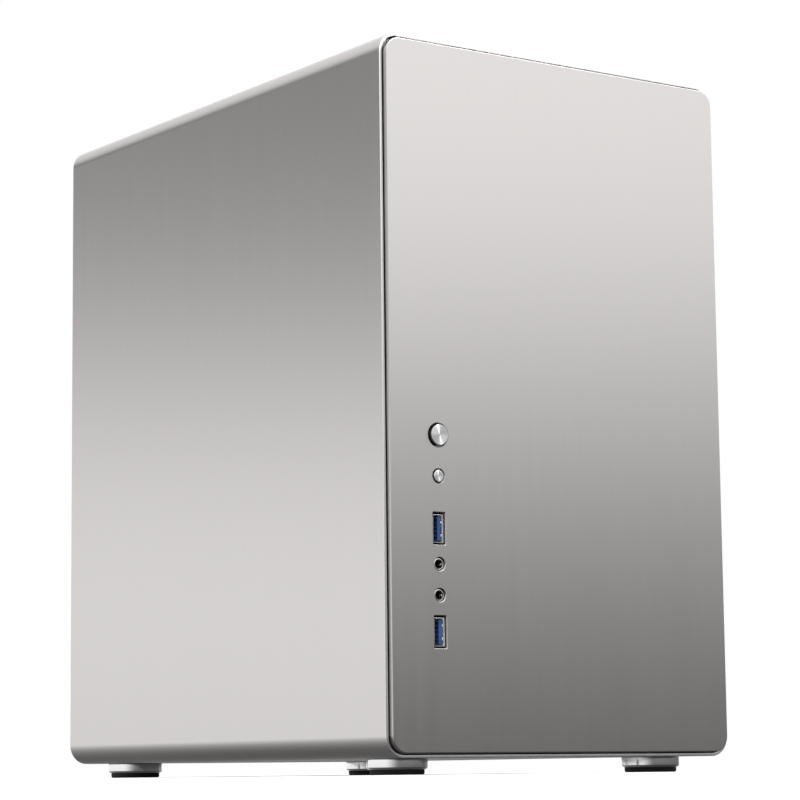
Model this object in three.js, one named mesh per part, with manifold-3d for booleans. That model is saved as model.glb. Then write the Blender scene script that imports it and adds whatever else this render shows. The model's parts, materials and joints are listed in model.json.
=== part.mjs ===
// Desktop computer tower: an aluminium wrap shell on four round feet, with a sliding side panel,
// a pull-off front plate and the computer inside. Millimetres, +Z up, the front faces -Y.
// Places inside the case are counted from the middle of its width (x), its front rim (y) and its
// underside (z). The exported group moves that point so that the origin is under the middle of the tower.
import * as THREE from "three";
import { mergeVertices } from "three/addons/utils/BufferGeometryUtils.js";
import Module from "manifold-3d";

const wasm = await Module();
wasm.setup();

// ---- Driving dimensions ----
const WIDTH = 206;
const HEIGHT = 338;
const DEPTH = 298;
const CORNER = 10; // outer radius of the shell's four bends
const SHEET = 1.5; // shell and side panel
const FRAME_SHEET = 1.2; // inner frame, tray, brackets
const GAP = 0.3; // between pieces that are fixed to each other
const FACE_GAP = 0.1; // between flat faces that rest on each other
const SLIDE_GAP = 0.6; // round what slides or lifts out
const HOLE_GAP = 0.6; // on the diameter of a hole for a screw or stem

// front plate
const PLATE = 3; // its thickness
const PLATE_PROUD = 2.6; // how far it stands in front of the rim
const PLATE_GROOVE = 0.6; // the groove round it
const PLATE_EDGE = 0.4; // its chamfer
const STUD_NECK = 4;
const STUD_BALL = 6;
const STUD_LENGTH = 7.5;
const STUD_INSET = 17; // from the plate's edge
const FRONT_FRAME_AT = 4; // behind the rim
const FRAME_FLANGE = 10; // depth of the folded edges of the two end frames

// side panel
const SEAM_ABOVE = 17.3; // the shell's upper lip ends this far below the top
const SEAM_BELOW = 19.6; // the lower lip ends this far above the underside
const SEAM_GAP = 0.5;
const LIP_LAP = 3; // how far the panel's tongues reach behind the lips
const TAB_WIDTH = 18;
const TAB_REACH = 14;
const THUMBSCREW_THREAD = 4;
const THUMBSCREW_HEAD = 11;
const THUMBSCREW_HEAD_LONG = 7;
const THUMBSCREW_FROM_END = 68; // from the top and from the underside

// rear frame
const REAR_FRAME_RECESS = 2.5; // behind face to the rear rim
const RIGHT_SET_IN = 5.6; // both end frames stop this far from the outside, for the panel's tongues

// feet
const FOOT_RING = 28.7;
const FOOT_RING_TALL = 5;
const FOOT_PAD = 25.6;
const FOOT_TALL = 7.5;
const FOOT_SIDE_INSET = 26;
const FOOT_FRONT_INSET = 28.5;
const FOOT_REAR_INSET = 25.2;
const FOOT_STUD = 4;

// the column of buttons and sockets on the front plate
const COLUMN_X = -73.6;
const POWER = { z: 148.6, hole: 11.5, cap: 9.9, proud: 1.3, travel: 1.2 };
const RESET = { z: 129.5, hole: 6.9, cap: 5.8, proud: 0.1, travel: 1.0 };
const BUTTON_FLANGE = 1.4; // how far a cap's flange reaches round it
const BUTTON_STEM = 4;
const USB_HIGH = 105.1;
const AUDIO_HIGH = 88.6;
const AUDIO_LOW = 74.3;
const USB_LOW = 57.4;
const USB_CUT = [7.1, 15.05];
const USB_SHELL = [5.72, 13.15];
const USB_WALL = 0.35;
const USB_DEEP = 15;
const USB_TONGUE = [1.9, 10.9, 10.1]; // thick, tall, long
const USB_TONGUE_OFF = 0.4; // from the shell's far side
const AUDIO_CUT = 6.66;
const AUDIO_COLLAR = 5.7;
const AUDIO_BORE = 3.6;
const AUDIO_BODY = [6, 8, 13]; // wide, tall, long
const SOCKET_RECESS = 0.9; // sockets end this far behind the plate's face
const IO_BOARD = 1.6;

// computer: a micro-ATX board, turned over, on a tray on the left wall
const STANDOFF = 6.35;
const BOARD = 1.6;
const BOARD_SIDE = 243.84;
const BOARD_REAR_GAP = 3; // to the rear frame
const BOARD_ABOVE_BASE = 3;
const IO_LONG = 158.75;
const IO_TALL = 44.45;
const IO_BELOW_BOARD = 3.8; // the aperture starts this far behind the board's face
const IO_FROM_EDGE = 3.2;
const SLOTS = 4;
const SLOT_PITCH = 20.32;
const SLOT_FIRST = 173.2; // first slot from the board's low edge
const SLOT_COVER = 18.4;
const SLOT_LEDGE = 110.9; // from the board's face to the ledge the covers screw to
const SLOT_OPENING = 12.5;
const SLOT_TAB = 10;
const SLOT_SHEET = 1;
const CPU_FROM_REAR = 100;
const CPU_FROM_EDGE = 80;
const FAN = 120;
const FAN_DEEP = 25;
const FAN_BORE = 115;
const FAN_SCREWS = 105;
const FAN_HUB = 40;
const FAN_BLADES = 7;
const COOLER_TALL = 153; // from the processor
const FIN_BLOCK = [50, 118]; // deep, tall
const FINS = 16;
const FIN = 0.8;

// power supply, at the top
const PSU = [150, 140, 86]; // wide, deep, tall
const PSU_SHEET = 1;
const PSU_LEFT_GAP = 11.5; // clears the upper bend and the board's edge
const PSU_ROOF_GAP = 2;
const INLET_FLANGE = [31, 24];
const INLET_BODY = [27, 20];
const ROCKER = [11, 17];
const ROCKER_TILT = 10;

// storage
const HARD_DRIVE = [101.6, 26.1, 147];
const SOLID_STATE_DRIVE = [70, 7, 100];

// ---- Derived places ----
const left = -WIDTH / 2 + SHEET; // inside faces of the shell
const right = WIDTH / 2 - SHEET;
const base = SHEET;
const roof = HEIGHT - SHEET;
const bend = CORNER - SHEET;
const frameRight = WIDTH / 2 - RIGHT_SET_IN;
const plateFront = -PLATE_PROUD;
const plateBack = PLATE - PLATE_PROUD;
const frontFrameBack = FRONT_FRAME_AT + FRAME_SHEET;
const rearFrameBack = DEPTH - REAR_FRAME_RECESS;
const rearFrameFront = rearFrameBack - FRAME_SHEET;
const tabFront = rearFrameBack + GAP;
const tabBack = tabFront + SHEET;
const trayLeft = left + 1.7; // clears the lower bend
const trayRight = trayLeft + FRAME_SHEET;
const trayFront = FRONT_FRAME_AT + FRAME_FLANGE + 2;
const trayRear = rearFrameBack - FRAME_FLANGE - GAP;
const boardBack = trayRight + STANDOFF;
const boardFace = boardBack + BOARD;
const boardRear = rearFrameFront - BOARD_REAR_GAP;
const boardFront = boardRear - BOARD_SIDE;
const boardLow = base + BOARD_ABOVE_BASE;
const boardHigh = boardLow + BOARD_SIDE;
const apertureLeft = boardFace - IO_BELOW_BOARD;
const apertureLow = boardLow + IO_FROM_EDGE;
const cpuY = boardRear - CPU_FROM_REAR;
const cpuZ = boardLow + CPU_FROM_EDGE;
const ledge = boardFace + SLOT_LEDGE;
const fanX = frameRight - TAB_REACH - FAN / 2; // rear fan, clear of the panel's tabs
const psuTop = roof - PSU_ROOF_GAP;
const psuLow = psuTop - PSU[2];
const psuLeft = left + PSU_LEFT_GAP;
const psuRight = psuLeft + PSU[0];
const psuRear = rearFrameFront - GAP;
const psuFront = psuRear - PSU[1];
const psuX = (psuLeft + psuRight) / 2;
const psuZ = (psuLow + psuTop) / 2;
const psuFanY = psuFront + PSU[1] / 2;
const usbHeights = { upper: USB_HIGH, lower: USB_LOW };
const audioHeights = { headphone: AUDIO_HIGH, microphone: AUDIO_LOW };
const thumbscrewX = frameRight - TAB_REACH / 2 + 1.5;
const thumbscrewHeights = { upper: HEIGHT - THUMBSCREW_FROM_END, lower: THUMBSCREW_FROM_END };
const slotHeights = Array.from({ length: SLOTS }, (_, i) => boardLow + SLOT_FIRST + i * SLOT_PITCH);

const HALF_TURN = Math.PI;
const QUARTER = Math.PI / 2;

// ---- Materials ----
const finish = (color, roughness, metalness) =>
  new THREE.MeshStandardMaterial({ color, roughness, metalness });
const anodised = () => finish(0xcac7c1, 0.38, 1);
const polished = () => finish(0xe2e2e2, 0.12, 1);
const millAluminium = () => finish(0xb4b4b2, 0.45, 1);
const zincSteel = () => finish(0xa9abac, 0.42, 1);
const nickelShell = () => finish(0xc4c4c2, 0.28, 1);
const blackPlastic = () => finish(0x161616, 0.55, 0);
const greyPlastic = () => finish(0x3a3b3d, 0.5, 0);
const bluePlastic = () => finish(0x1f4f9c, 0.45, 0);
const blackRubber = () => finish(0x101010, 0.8, 0);
const boardGreen = () => finish(0x14281c, 0.5, 0);
const blackPaint = () => finish(0x1c1d1f, 0.5, 0.3);

// ---- Shape tools ----

// A rectangle with round corners, as an outline or as a hole.
function roundRect(x0, x1, y0, y1, r, Kind = THREE.Shape) {
  const path = new Kind();
  path.moveTo(x0 + r, y0);
  path.absarc(x1 - r, y0 + r, r, -QUARTER, 0, false);
  path.absarc(x1 - r, y1 - r, r, 0, QUARTER, false);
  path.absarc(x0 + r, y1 - r, r, QUARTER, HALF_TURN, false);
  path.absarc(x0 + r, y0 + r, r, HALF_TURN, 3 * QUARTER, false);
  path.closePath();
  return path;
}

function circle(x, y, diameter, Kind = THREE.Path) {
  const path = new Kind();
  path.absarc(x, y, diameter / 2, 0, 2 * HALF_TURN, false);
  return path;
}

function rect(x0, x1, y0, y1, Kind = THREE.Path) {
  const path = new Kind();
  path.moveTo(x0, y0);
  path.lineTo(x1, y0);
  path.lineTo(x1, y1);
  path.lineTo(x0, y1);
  path.closePath();
  return path;
}

const withHoles = (shape, holes) => {
  shape.holes.push(...holes);
  return shape;
};

// The outline of a sheet bent along a polyline, with mitred corners.
function bentSheet(points, thickness) {
  const line = points.map(([x, y]) => new THREE.Vector2(x, y));
  const normal = (i) => {
    const along = line[i + 1].clone().sub(line[i]).normalize();
    return new THREE.Vector2(-along.y, along.x);
  };
  const side = (sign) =>
    line.map((p, i) => {
      const before = normal(Math.max(i - 1, 0));
      const after = normal(Math.min(i, line.length - 2));
      const reach = (sign * thickness) / 2 / (1 + before.dot(after));
      return p.clone().addScaledVector(before.add(after), reach);
    });
  return new THREE.Shape([...side(1), ...side(-1).reverse()]);
}

const extrude = (shape, depth, curveSegments) =>
  new THREE.ExtrudeGeometry(shape, { depth, bevelEnabled: false, curveSegments });

// A flat piece across the tower: its outline is (x, z), its thickness runs from y0 to y1.
const across = (shape, y0, y1, detail = 6) =>
  extrude(shape, y1 - y0, detail).rotateX(QUARTER).translate(0, y1, 0);

// A flat piece along the tower: its outline is (y, z), its thickness runs from x0 to x1.
const turnUpright = new THREE.Matrix4().makeBasis(
  new THREE.Vector3(0, 1, 0),
  new THREE.Vector3(0, 0, 1),
  new THREE.Vector3(1, 0, 0),
);
const along = (shape, x0, x1, detail = 6) =>
  extrude(shape, x1 - x0, detail).applyMatrix4(turnUpright).translate(x0, 0, 0);

// A flat piece lying down: its outline is (x, y), its thickness runs from z0 to z1.
const level = (shape, z0, z1, detail = 6) => extrude(shape, z1 - z0, detail).translate(0, 0, z0);

const box = (x0, x1, y0, y1, z0, z1) =>
  new THREE.BoxGeometry(x1 - x0, y1 - y0, z1 - z0).translate(
    (x0 + x1) / 2,
    (y0 + y1) / 2,
    (z0 + z1) / 2,
  );

// A turned piece: radius and height pairs from its lower axis point to its upper one, round Z.
const turned = (profile, segments = 20) =>
  new THREE.LatheGeometry(
    profile.map(([r, h]) => new THREE.Vector2(r, h)),
    segments,
  ).rotateX(QUARTER);

const rod = (diameter, z0, z1, segments = 16) =>
  turned([[0, z0], [diameter / 2, z0], [diameter / 2, z1], [0, z1]], segments);

// Turned pieces that point along the other axes.
const towardsRear = (geometry) => geometry.rotateX(-QUARTER);
const towardsRight = (geometry) => geometry.rotateY(QUARTER);

// A manifold solid from a closed geometry, without the triangles that shrink to nothing at a pole.
function solid(geometry) {
  const positions = new THREE.BufferGeometry();
  const open = geometry.index ? geometry.toNonIndexed() : geometry;
  positions.setAttribute("position", open.getAttribute("position"));
  const merged = mergeVertices(positions, 1e-4);
  const index = merged.index.array;
  const triVerts = [];
  for (let i = 0; i < index.length; i += 3) {
    const [a, b, c] = index.slice(i, i + 3);
    if (a !== b && b !== c && c !== a) triVerts.push(a, b, c);
  }
  return new wasm.Manifold(
    new wasm.Mesh({
      numProp: 3,
      vertProperties: merged.attributes.position.array,
      triVerts: new Uint32Array(triVerts),
    }),
  );
}

const asSolid = (piece) => (piece.isBufferGeometry ? solid(piece) : piece);
const join = (first, ...rest) => rest.reduce((sum, piece) => sum.add(asSolid(piece)), asSolid(first));
const cut = (first, ...rest) =>
  rest.reduce((sum, piece) => sum.subtract(asSolid(piece)), asSolid(first));

function geometryOf(piece) {
  if (piece.isBufferGeometry) return piece;
  const { vertProperties, triVerts, numProp } = piece.getMesh();
  const geometry = new THREE.BufferGeometry();
  const positions = new Float32Array((vertProperties.length / numProp) * 3);
  for (let i = 0; i < positions.length; i += 1) {
    positions[i] = vertProperties[Math.floor(i / 3) * numProp + (i % 3)];
  }
  geometry.setAttribute("position", new THREE.BufferAttribute(positions, 3));
  geometry.setIndex(new THREE.BufferAttribute(new Uint32Array(triVerts), 1));
  geometry.computeVertexNormals();
  return geometry;
}

const tower = new THREE.Group();

function add(name, material, piece, parent = tower) {
  const mesh = new THREE.Mesh(geometryOf(piece), material);
  mesh.name = name;
  parent.add(mesh);
  return mesh;
}

// A group that stands at a place in the tower, turned by a rotation in quarter turns round X or Y.
function station(x, y, z, turnX = 0, turnY = 0) {
  const group = new THREE.Group();
  group.position.set(x, y, z);
  group.rotation.set(turnX * QUARTER, turnY * QUARTER, 0);
  tower.add(group);
  return group;
}

// ---- Shell: one sheet bent round the left side, top and underside, with two lips on the right ----

function shellOutline() {
  const seamHigh = HEIGHT - SEAM_ABOVE;
  const x = WIDTH / 2;
  const shape = new THREE.Shape();
  shape.moveTo(x, SEAM_BELOW - SHEET / 3);
  shape.lineTo(x - SHEET / 3, SEAM_BELOW);
  shape.lineTo(right, SEAM_BELOW);
  shape.absarc(x - CORNER, CORNER, bend, 0, -QUARTER, true);
  shape.absarc(CORNER - x, CORNER, bend, -QUARTER, -HALF_TURN, true);
  shape.absarc(CORNER - x, HEIGHT - CORNER, bend, HALF_TURN, QUARTER, true);
  shape.absarc(x - CORNER, HEIGHT - CORNER, bend, QUARTER, 0, true);
  shape.lineTo(right, seamHigh);
  shape.lineTo(x - SHEET / 3, seamHigh);
  shape.lineTo(x, seamHigh + SHEET / 3);
  shape.absarc(x - CORNER, HEIGHT - CORNER, CORNER, 0, QUARTER, false);
  shape.absarc(CORNER - x, HEIGHT - CORNER, CORNER, QUARTER, HALF_TURN, false);
  shape.absarc(CORNER - x, CORNER, CORNER, HALF_TURN, 3 * QUARTER, false);
  shape.absarc(x - CORNER, CORNER, CORNER, 3 * QUARTER, 4 * QUARTER, false);
  shape.closePath();
  return shape;
}

const footPlaces = {
  front_left: [FOOT_SIDE_INSET - WIDTH / 2, FOOT_FRONT_INSET],
  front_right: [WIDTH / 2 - FOOT_SIDE_INSET, FOOT_FRONT_INSET],
  rear_left: [FOOT_SIDE_INSET - WIDTH / 2, DEPTH - FOOT_REAR_INSET],
  rear_right: [WIDTH / 2 - FOOT_SIDE_INSET, DEPTH - FOOT_REAR_INSET],
};

// Two rows of air slots in the underside, between the feet.
function airSlots() {
  const rows = 2;
  const perRow = 7;
  const pitch = 14;
  const slot = [4.5, 60];
  const rowGap = 14;
  const cuts = [];
  for (let row = 0; row < rows; row += 1) {
    for (let i = 0; i < perRow; i += 1) {
      const x = (i - (perRow - 1) / 2) * pitch;
      const y = DEPTH / 2 + (row - (rows - 1) / 2) * (slot[1] + rowGap);
      const outline = roundRect(
        x - slot[0] / 2,
        x + slot[0] / 2,
        y - slot[1] / 2,
        y + slot[1] / 2,
        slot[0] / 2,
      );
      cuts.push(level(outline, -1, SHEET + 1, 1));
    }
  }
  return cuts;
}

function makeShell() {
  const footHoles = Object.values(footPlaces).map(([x, y]) =>
    rod(FOOT_STUD + HOLE_GAP, -1, SHEET + 1, 12).translate(x, y, 0),
  );
  return cut(across(shellOutline(), 0, DEPTH, 5), ...footHoles, ...airSlots());
}

add("shell", anodised(), makeShell());

// ---- Feet: a polished ring with a stud up through the shell, and a rubber pad let into it ----

for (const [place, [x, y]] of Object.entries(footPlaces)) {
  const foot = station(x, y, 0);
  const socket = FOOT_PAD / 2 + GAP;
  const socketDeep = 1.5;
  const ring = turned([
    [0, -FOOT_RING_TALL + socketDeep],
    [socket, -FOOT_RING_TALL + socketDeep],
    [socket, -FOOT_RING_TALL],
    [FOOT_RING / 2 - 0.6, -FOOT_RING_TALL],
    [FOOT_RING / 2, -FOOT_RING_TALL + 0.8],
    [FOOT_RING / 2, -FACE_GAP],
    [FOOT_STUD / 2, -FACE_GAP],
    [FOOT_STUD / 2, SHEET + 2.5],
    [0, SHEET + 2.5],
  ]);
  const pad = turned([
    [0, -FOOT_TALL],
    [FOOT_PAD / 2 - 0.5, -FOOT_TALL],
    [FOOT_PAD / 2, -FOOT_TALL + 0.5],
    [FOOT_PAD / 2, -FOOT_RING_TALL + socketDeep - FACE_GAP],
    [0, -FOOT_RING_TALL + socketDeep - FACE_GAP],
  ]);
  add(`foot_ring_${place}`, polished(), ring, foot);
  add(`foot_pad_${place}`, blackRubber(), pad, foot);
}

// ---- Side panel: a flat sheet with a tongue behind each lip and two tabs for thumbscrews ----

const tongueOut = right - GAP;
const tongueIn = tongueOut - SHEET;

function panelOutline() {
  const x = WIDTH / 2;
  const low = SEAM_BELOW + SEAM_GAP;
  const high = HEIGHT - SEAM_ABOVE - SEAM_GAP;
  const chamfer = SHEET / 3;
  return new THREE.Shape([
    new THREE.Vector2(x, low + chamfer),
    new THREE.Vector2(x, high - chamfer),
    new THREE.Vector2(x - chamfer, high),
    new THREE.Vector2(tongueOut, high),
    new THREE.Vector2(tongueOut, high + LIP_LAP),
    new THREE.Vector2(tongueIn, high + LIP_LAP),
    new THREE.Vector2(tongueIn, high - 4),
    new THREE.Vector2(right, high - 4),
    new THREE.Vector2(right, low + 4),
    new THREE.Vector2(tongueIn, low + 4),
    new THREE.Vector2(tongueIn, low - LIP_LAP),
    new THREE.Vector2(tongueOut, low - LIP_LAP),
    new THREE.Vector2(tongueOut, low),
    new THREE.Vector2(x - chamfer, low),
  ]);
}

function makeSidePanel() {
  const tongueStart = frontFrameBack + FRAME_FLANGE;
  const noTongue = box(tongueIn - 1, right, -1, tongueStart, 0, HEIGHT);
  const tabs = Object.values(thumbscrewHeights).map((z) =>
    across(
      withHoles(
        rect(frameRight - TAB_REACH, right + 0.5, z - TAB_WIDTH / 2, z + TAB_WIDTH / 2, THREE.Shape),
        [circle(thumbscrewX, z, THUMBSCREW_THREAD + HOLE_GAP)],
      ),
      tabFront,
      tabBack,
      6,
    ),
  );
  return join(cut(across(panelOutline(), 0, DEPTH), noTongue), ...tabs);
}

add("side_panel", anodised(), makeSidePanel());

for (const [place, z] of Object.entries(thumbscrewHeights)) {
  const screw = station(thumbscrewX, tabBack + FACE_GAP, z, -1);
  const head = THUMBSCREW_HEAD / 2;
  const long = THUMBSCREW_HEAD_LONG;
  const thread = THUMBSCREW_THREAD / 2;
  const profile = [[0, -8], [thread, -8], [thread, 0], [head - 0.6, 0], [head, 0.6]];
  const top = [[head, long - 0.6], [head - 0.6, long], [0, long]];
  add(`thumbscrew_${place}`, anodised(), turned([...profile, ...top], 20), screw);
}

// ---- Panel rails: folded strips inside the top and the underside that guide the tongues ----

function railOutline(side) {
  const x = tongueIn - GAP - FRAME_SHEET / 2;
  const edge = side > 0 ? HEIGHT - SEAM_ABOVE - 5 : SEAM_BELOW + 5;
  const wall = side > 0 ? roof : base;
  const foot = wall - side * (GAP + FRAME_SHEET / 2);
  const step = wall - side * 8.4;
  const inX = WIDTH / 2 - CORNER;
  return bentSheet([[x, edge], [x, step], [inX, step], [inX, foot], [inX - 7, foot]], FRAME_SHEET);
}

const railFront = frontFrameBack + FRAME_FLANGE;
add("panel_rail_upper", millAluminium(), across(railOutline(1), railFront, trayRear));
add("panel_rail_lower", millAluminium(), across(railOutline(-1), railFront, trayRear));

// ---- End frames: pans inside the shell's two ends, cut back on the right for the tongues ----

const endOutline = (inset = 0, Kind = THREE.Shape) =>
  roundRect(
    left + GAP + inset,
    frameRight - inset,
    base + GAP + inset,
    roof - GAP - inset,
    bend - GAP - inset,
    Kind,
  );

const endFlange = () => withHoles(endOutline(), [endOutline(FRAME_SHEET, THREE.Path)]);

const plateHalf = WIDTH / 2 - SHEET - PLATE_GROOVE;
const plateLow = base + PLATE_GROOVE;
const plateHigh = roof - PLATE_GROOVE;
const studPlaces = [];
for (const x of [-1, 1]) {
  for (const z of [plateLow + STUD_INSET, HEIGHT / 2 + 30, plateHigh - STUD_INSET]) {
    studPlaces.push([x * (plateHalf - STUD_INSET), z]);
  }
}

const columnWindow = {
  x0: COLUMN_X - 12,
  x1: COLUMN_X + 12,
  z0: USB_LOW - 14,
  z1: POWER.z + 13,
};

function makeFrontFrame() {
  const { x0, x1, z0, z1 } = columnWindow;
  const face = withHoles(endOutline(), [
    roundRect(x0, x1, z0, z1, 2, THREE.Path),
    ...studPlaces.map(([x, z]) => circle(x, z, STUD_BALL + SLIDE_GAP)),
  ]);
  return join(
    across(face, FRONT_FRAME_AT, frontFrameBack, 4),
    across(endFlange(), FRONT_FRAME_AT, FRONT_FRAME_AT + FRAME_FLANGE, 4),
  );
}

add("front_frame", millAluminium(), makeFrontFrame());

// ---- Front plate: chamfered plate with the holes of the column and six ball studs behind ----

function plateHoles() {
  const [wide, tall] = USB_CUT;
  return [
    circle(COLUMN_X, POWER.z, POWER.hole),
    circle(COLUMN_X, RESET.z, RESET.hole),
    ...Object.values(audioHeights).map((z) => circle(COLUMN_X, z, AUDIO_CUT)),
    ...Object.values(usbHeights).map((z) =>
      roundRect(COLUMN_X - wide / 2, COLUMN_X + wide / 2, z - tall / 2, z + tall / 2, 0.6, THREE.Path),
    ),
  ];
}

function makeFrontPlate() {
  const radius = bend - PLATE_GROOVE;
  const outline = roundRect(-plateHalf, plateHalf, plateLow, plateHigh, radius);
  const plate = new THREE.ExtrudeGeometry(withHoles(outline, plateHoles()), {
    depth: PLATE - 2 * PLATE_EDGE,
    bevelThickness: PLATE_EDGE,
    bevelSize: PLATE_EDGE,
    bevelOffset: -PLATE_EDGE,
    bevelSegments: 1,
    curveSegments: 5,
  });
  plate.rotateX(QUARTER).translate(0, plateBack - PLATE_EDGE, 0);
  const ball = STUD_BALL / 2;
  const neck = STUD_NECK / 2;
  const studs = studPlaces.map(([x, z]) =>
    towardsRear(
      turned(
        [
          [0, -0.5],
          [neck, -0.5],
          [neck, STUD_LENGTH - STUD_BALL],
          [ball, STUD_LENGTH - 0.7 * STUD_BALL],
          [ball, STUD_LENGTH - 0.3 * STUD_BALL],
          [neck, STUD_LENGTH],
          [0, STUD_LENGTH],
        ],
        8,
      ),
    ).translate(x, plateBack, z),
  );
  return join(plate, ...studs);
}

add("front_panel", anodised(), makeFrontPlate());

// ---- Buttons: a cap in its hole, a flange behind the plate and a stem through the bracket ----

const bracketFront = frontFrameBack + GAP;
const bracketBack = bracketFront + FRAME_SHEET;
const stemEnd = bracketBack + GAP;

function makeButton({ cap, proud }) {
  const front = plateFront - proud;
  const flangeFront = plateBack + GAP;
  const flangeBack = flangeFront + 1;
  return turned(
    [
      [0, front],
      [cap / 2 - 0.3, front],
      [cap / 2, front + 0.3],
      [cap / 2, flangeFront],
      [cap / 2 + BUTTON_FLANGE, flangeFront],
      [cap / 2 + BUTTON_FLANGE, flangeBack],
      [BUTTON_STEM / 2, flangeBack],
      [BUTTON_STEM / 2, stemEnd],
      [0, stemEnd],
    ],
    18,
  );
}

// A push switch on the socket board, with its plunger one travel behind the stem.
function makeSwitch({ travel }) {
  const body = stemEnd + travel + GAP + 1;
  return join(
    towardsRear(rod(3.4, body - 1, body + 0.5, 12)),
    box(-3, 3, body, body + 4.5, -3, 3),
  );
}

for (const [name, spec] of Object.entries({ power: POWER, reset: RESET })) {
  const place = station(COLUMN_X, 0, spec.z);
  add(`${name}_button`, anodised(), towardsRear(makeButton(spec)), place);
  add(`${name}_switch`, blackPlastic(), makeSwitch(spec), place);
}

// ---- Socket column: bracket, board, two USB sockets and two jacks ----

const socketFront = plateFront + SOCKET_RECESS;
const ioBoardRight = COLUMN_X - 3 - GAP;
const ioBoardLeft = ioBoardRight - IO_BOARD;
const ioBoardRear = 38;
const ioBracketLeg = ioBoardLeft - GAP;

function makeSocketBracket() {
  const inset = SLIDE_GAP;
  const { x0, x1, z0, z1 } = columnWindow;
  const [wide, tall] = USB_SHELL;
  const fit = GAP;
  const holes = [
    circle(COLUMN_X, POWER.z, BUTTON_STEM + HOLE_GAP),
    circle(COLUMN_X, RESET.z, BUTTON_STEM + HOLE_GAP),
    ...Object.values(audioHeights).map((z) => circle(COLUMN_X, z, AUDIO_COLLAR + 2 * fit)),
    ...Object.values(usbHeights).map((z) =>
      rect(COLUMN_X - wide / 2 - fit, COLUMN_X + wide / 2 + fit, z - tall / 2 - fit, z + tall / 2 + fit),
    ),
  ];
  const face = withHoles(rect(x0 - 3, x1 + 3, z0 - 3, z1 + 3, THREE.Shape), holes);
  const leg = box(
    ioBracketLeg - FRAME_SHEET,
    ioBracketLeg,
    bracketFront,
    ioBoardRear,
    z0 + inset,
    z1 - inset,
  );
  return join(across(face, bracketFront, bracketBack, 4), leg);
}

add("socket_bracket", zincSteel(), makeSocketBracket());
add(
  "socket_board",
  boardGreen(),
  box(ioBoardLeft, ioBoardRight, bracketBack + GAP, ioBoardRear, columnWindow.z0 + 2, columnWindow.z1 - 2),
);

function makeUsbShell() {
  const [wide, tall] = USB_SHELL;
  const outer = roundRect(-wide / 2, wide / 2, -tall / 2, tall / 2, 0.6);
  const inner = roundRect(
    USB_WALL - wide / 2,
    wide / 2 - USB_WALL,
    USB_WALL - tall / 2,
    tall / 2 - USB_WALL,
    0.3,
    THREE.Path,
  );
  return across(withHoles(outer, [inner]), socketFront, socketFront + USB_DEEP, 2);
}

// The tongue stands out of a block that closes the shell's rear end.
function makeUsbTongue() {
  const [wide, tall] = USB_SHELL;
  const [thick, height, long] = USB_TONGUE;
  const block = socketFront + USB_DEEP - 4;
  const far = wide / 2 - USB_WALL - USB_TONGUE_OFF;
  const w = wide / 2 - USB_WALL - GAP / 2;
  const t = tall / 2 - USB_WALL - GAP / 2;
  return join(
    box(far - thick, far, block - long, block + 1, -height / 2, height / 2),
    box(-w, w, block, block + 4, -t, t),
  );
}

for (const [place, z] of Object.entries(usbHeights)) {
  const socket = station(COLUMN_X, 0, z);
  add(`usb_shell_${place}`, nickelShell(), makeUsbShell(), socket);
  add(`usb_tongue_${place}`, bluePlastic(), makeUsbTongue(), socket);
}

function makeJack() {
  const [wide, tall, long] = AUDIO_BODY;
  const bodyFront = bracketBack + GAP;
  const collar = towardsRear(rod(AUDIO_COLLAR, socketFront, bodyFront + 1, 16));
  const body = box(-wide / 2, wide / 2, bodyFront, bodyFront + long, -tall / 2, tall / 2);
  const bore = towardsRear(rod(AUDIO_BORE, socketFront - 1, bodyFront + long - 2, 12));
  return cut(join(collar, body), bore);
}

for (const [place, z] of Object.entries(audioHeights)) {
  add(`${place}_jack`, blackPlastic(), makeJack(), station(COLUMN_X, 0, z));
}

// ---- Rear frame: pan with the openings for the fan, sockets, slots and power supply ----

const cutoutInset = 10;
const psuCutout = [
  psuLeft + cutoutInset,
  psuRight - cutoutInset,
  psuLow + cutoutInset,
  psuTop - cutoutInset,
];
const fanScrewPlaces = [-1, 1].flatMap((u) => [-1, 1].map((v) => [(u * FAN_SCREWS) / 2, (v * FAN_SCREWS) / 2]));
const slotLow = slotHeights[0] - SLOT_COVER / 2;
const slotHigh = slotHeights[SLOTS - 1] + SLOT_COVER / 2;

function makeRearFrame() {
  const holes = [
    rect(apertureLeft, apertureLeft + IO_TALL, apertureLow, apertureLow + IO_LONG),
    roundRect(...psuCutout, 6, THREE.Path),
    ...fanScrewPlaces.map(([u, v]) => circle(fanX + u, cpuZ + v, 4.6)),
    ...Object.values(thumbscrewHeights).map((z) => circle(thumbscrewX, z, THUMBSCREW_THREAD + HOLE_GAP)),
    ...slotHeights.map((z) => rect(boardFace + 3, ledge - 5, z - SLOT_OPENING / 2, z + SLOT_OPENING / 2)),
    rect(ledge - 0.5, ledge + SLOT_SHEET + 2 * GAP, slotLow - 1, slotHigh + 1),
  ];
  const ledgeSheet = box(
    ledge - FRAME_SHEET - 0.8,
    ledge,
    rearFrameFront,
    rearFrameBack + SLOT_TAB,
    slotLow - 1,
    slotHigh + 1,
  );
  const sheet = join(
    across(withHoles(endOutline(), holes), rearFrameFront, rearFrameBack, 4),
    across(endFlange(), rearFrameBack - FRAME_FLANGE, rearFrameBack, 4),
    ledgeSheet,
  );
  const fanHole = towardsRear(rod(FAN_BORE - 2, rearFrameFront - 1, rearFrameBack + 1, 32));
  return cut(sheet, fanHole.translate(fanX, 0, cpuZ));
}

add("rear_frame", millAluminium(), makeRearFrame());

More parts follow.
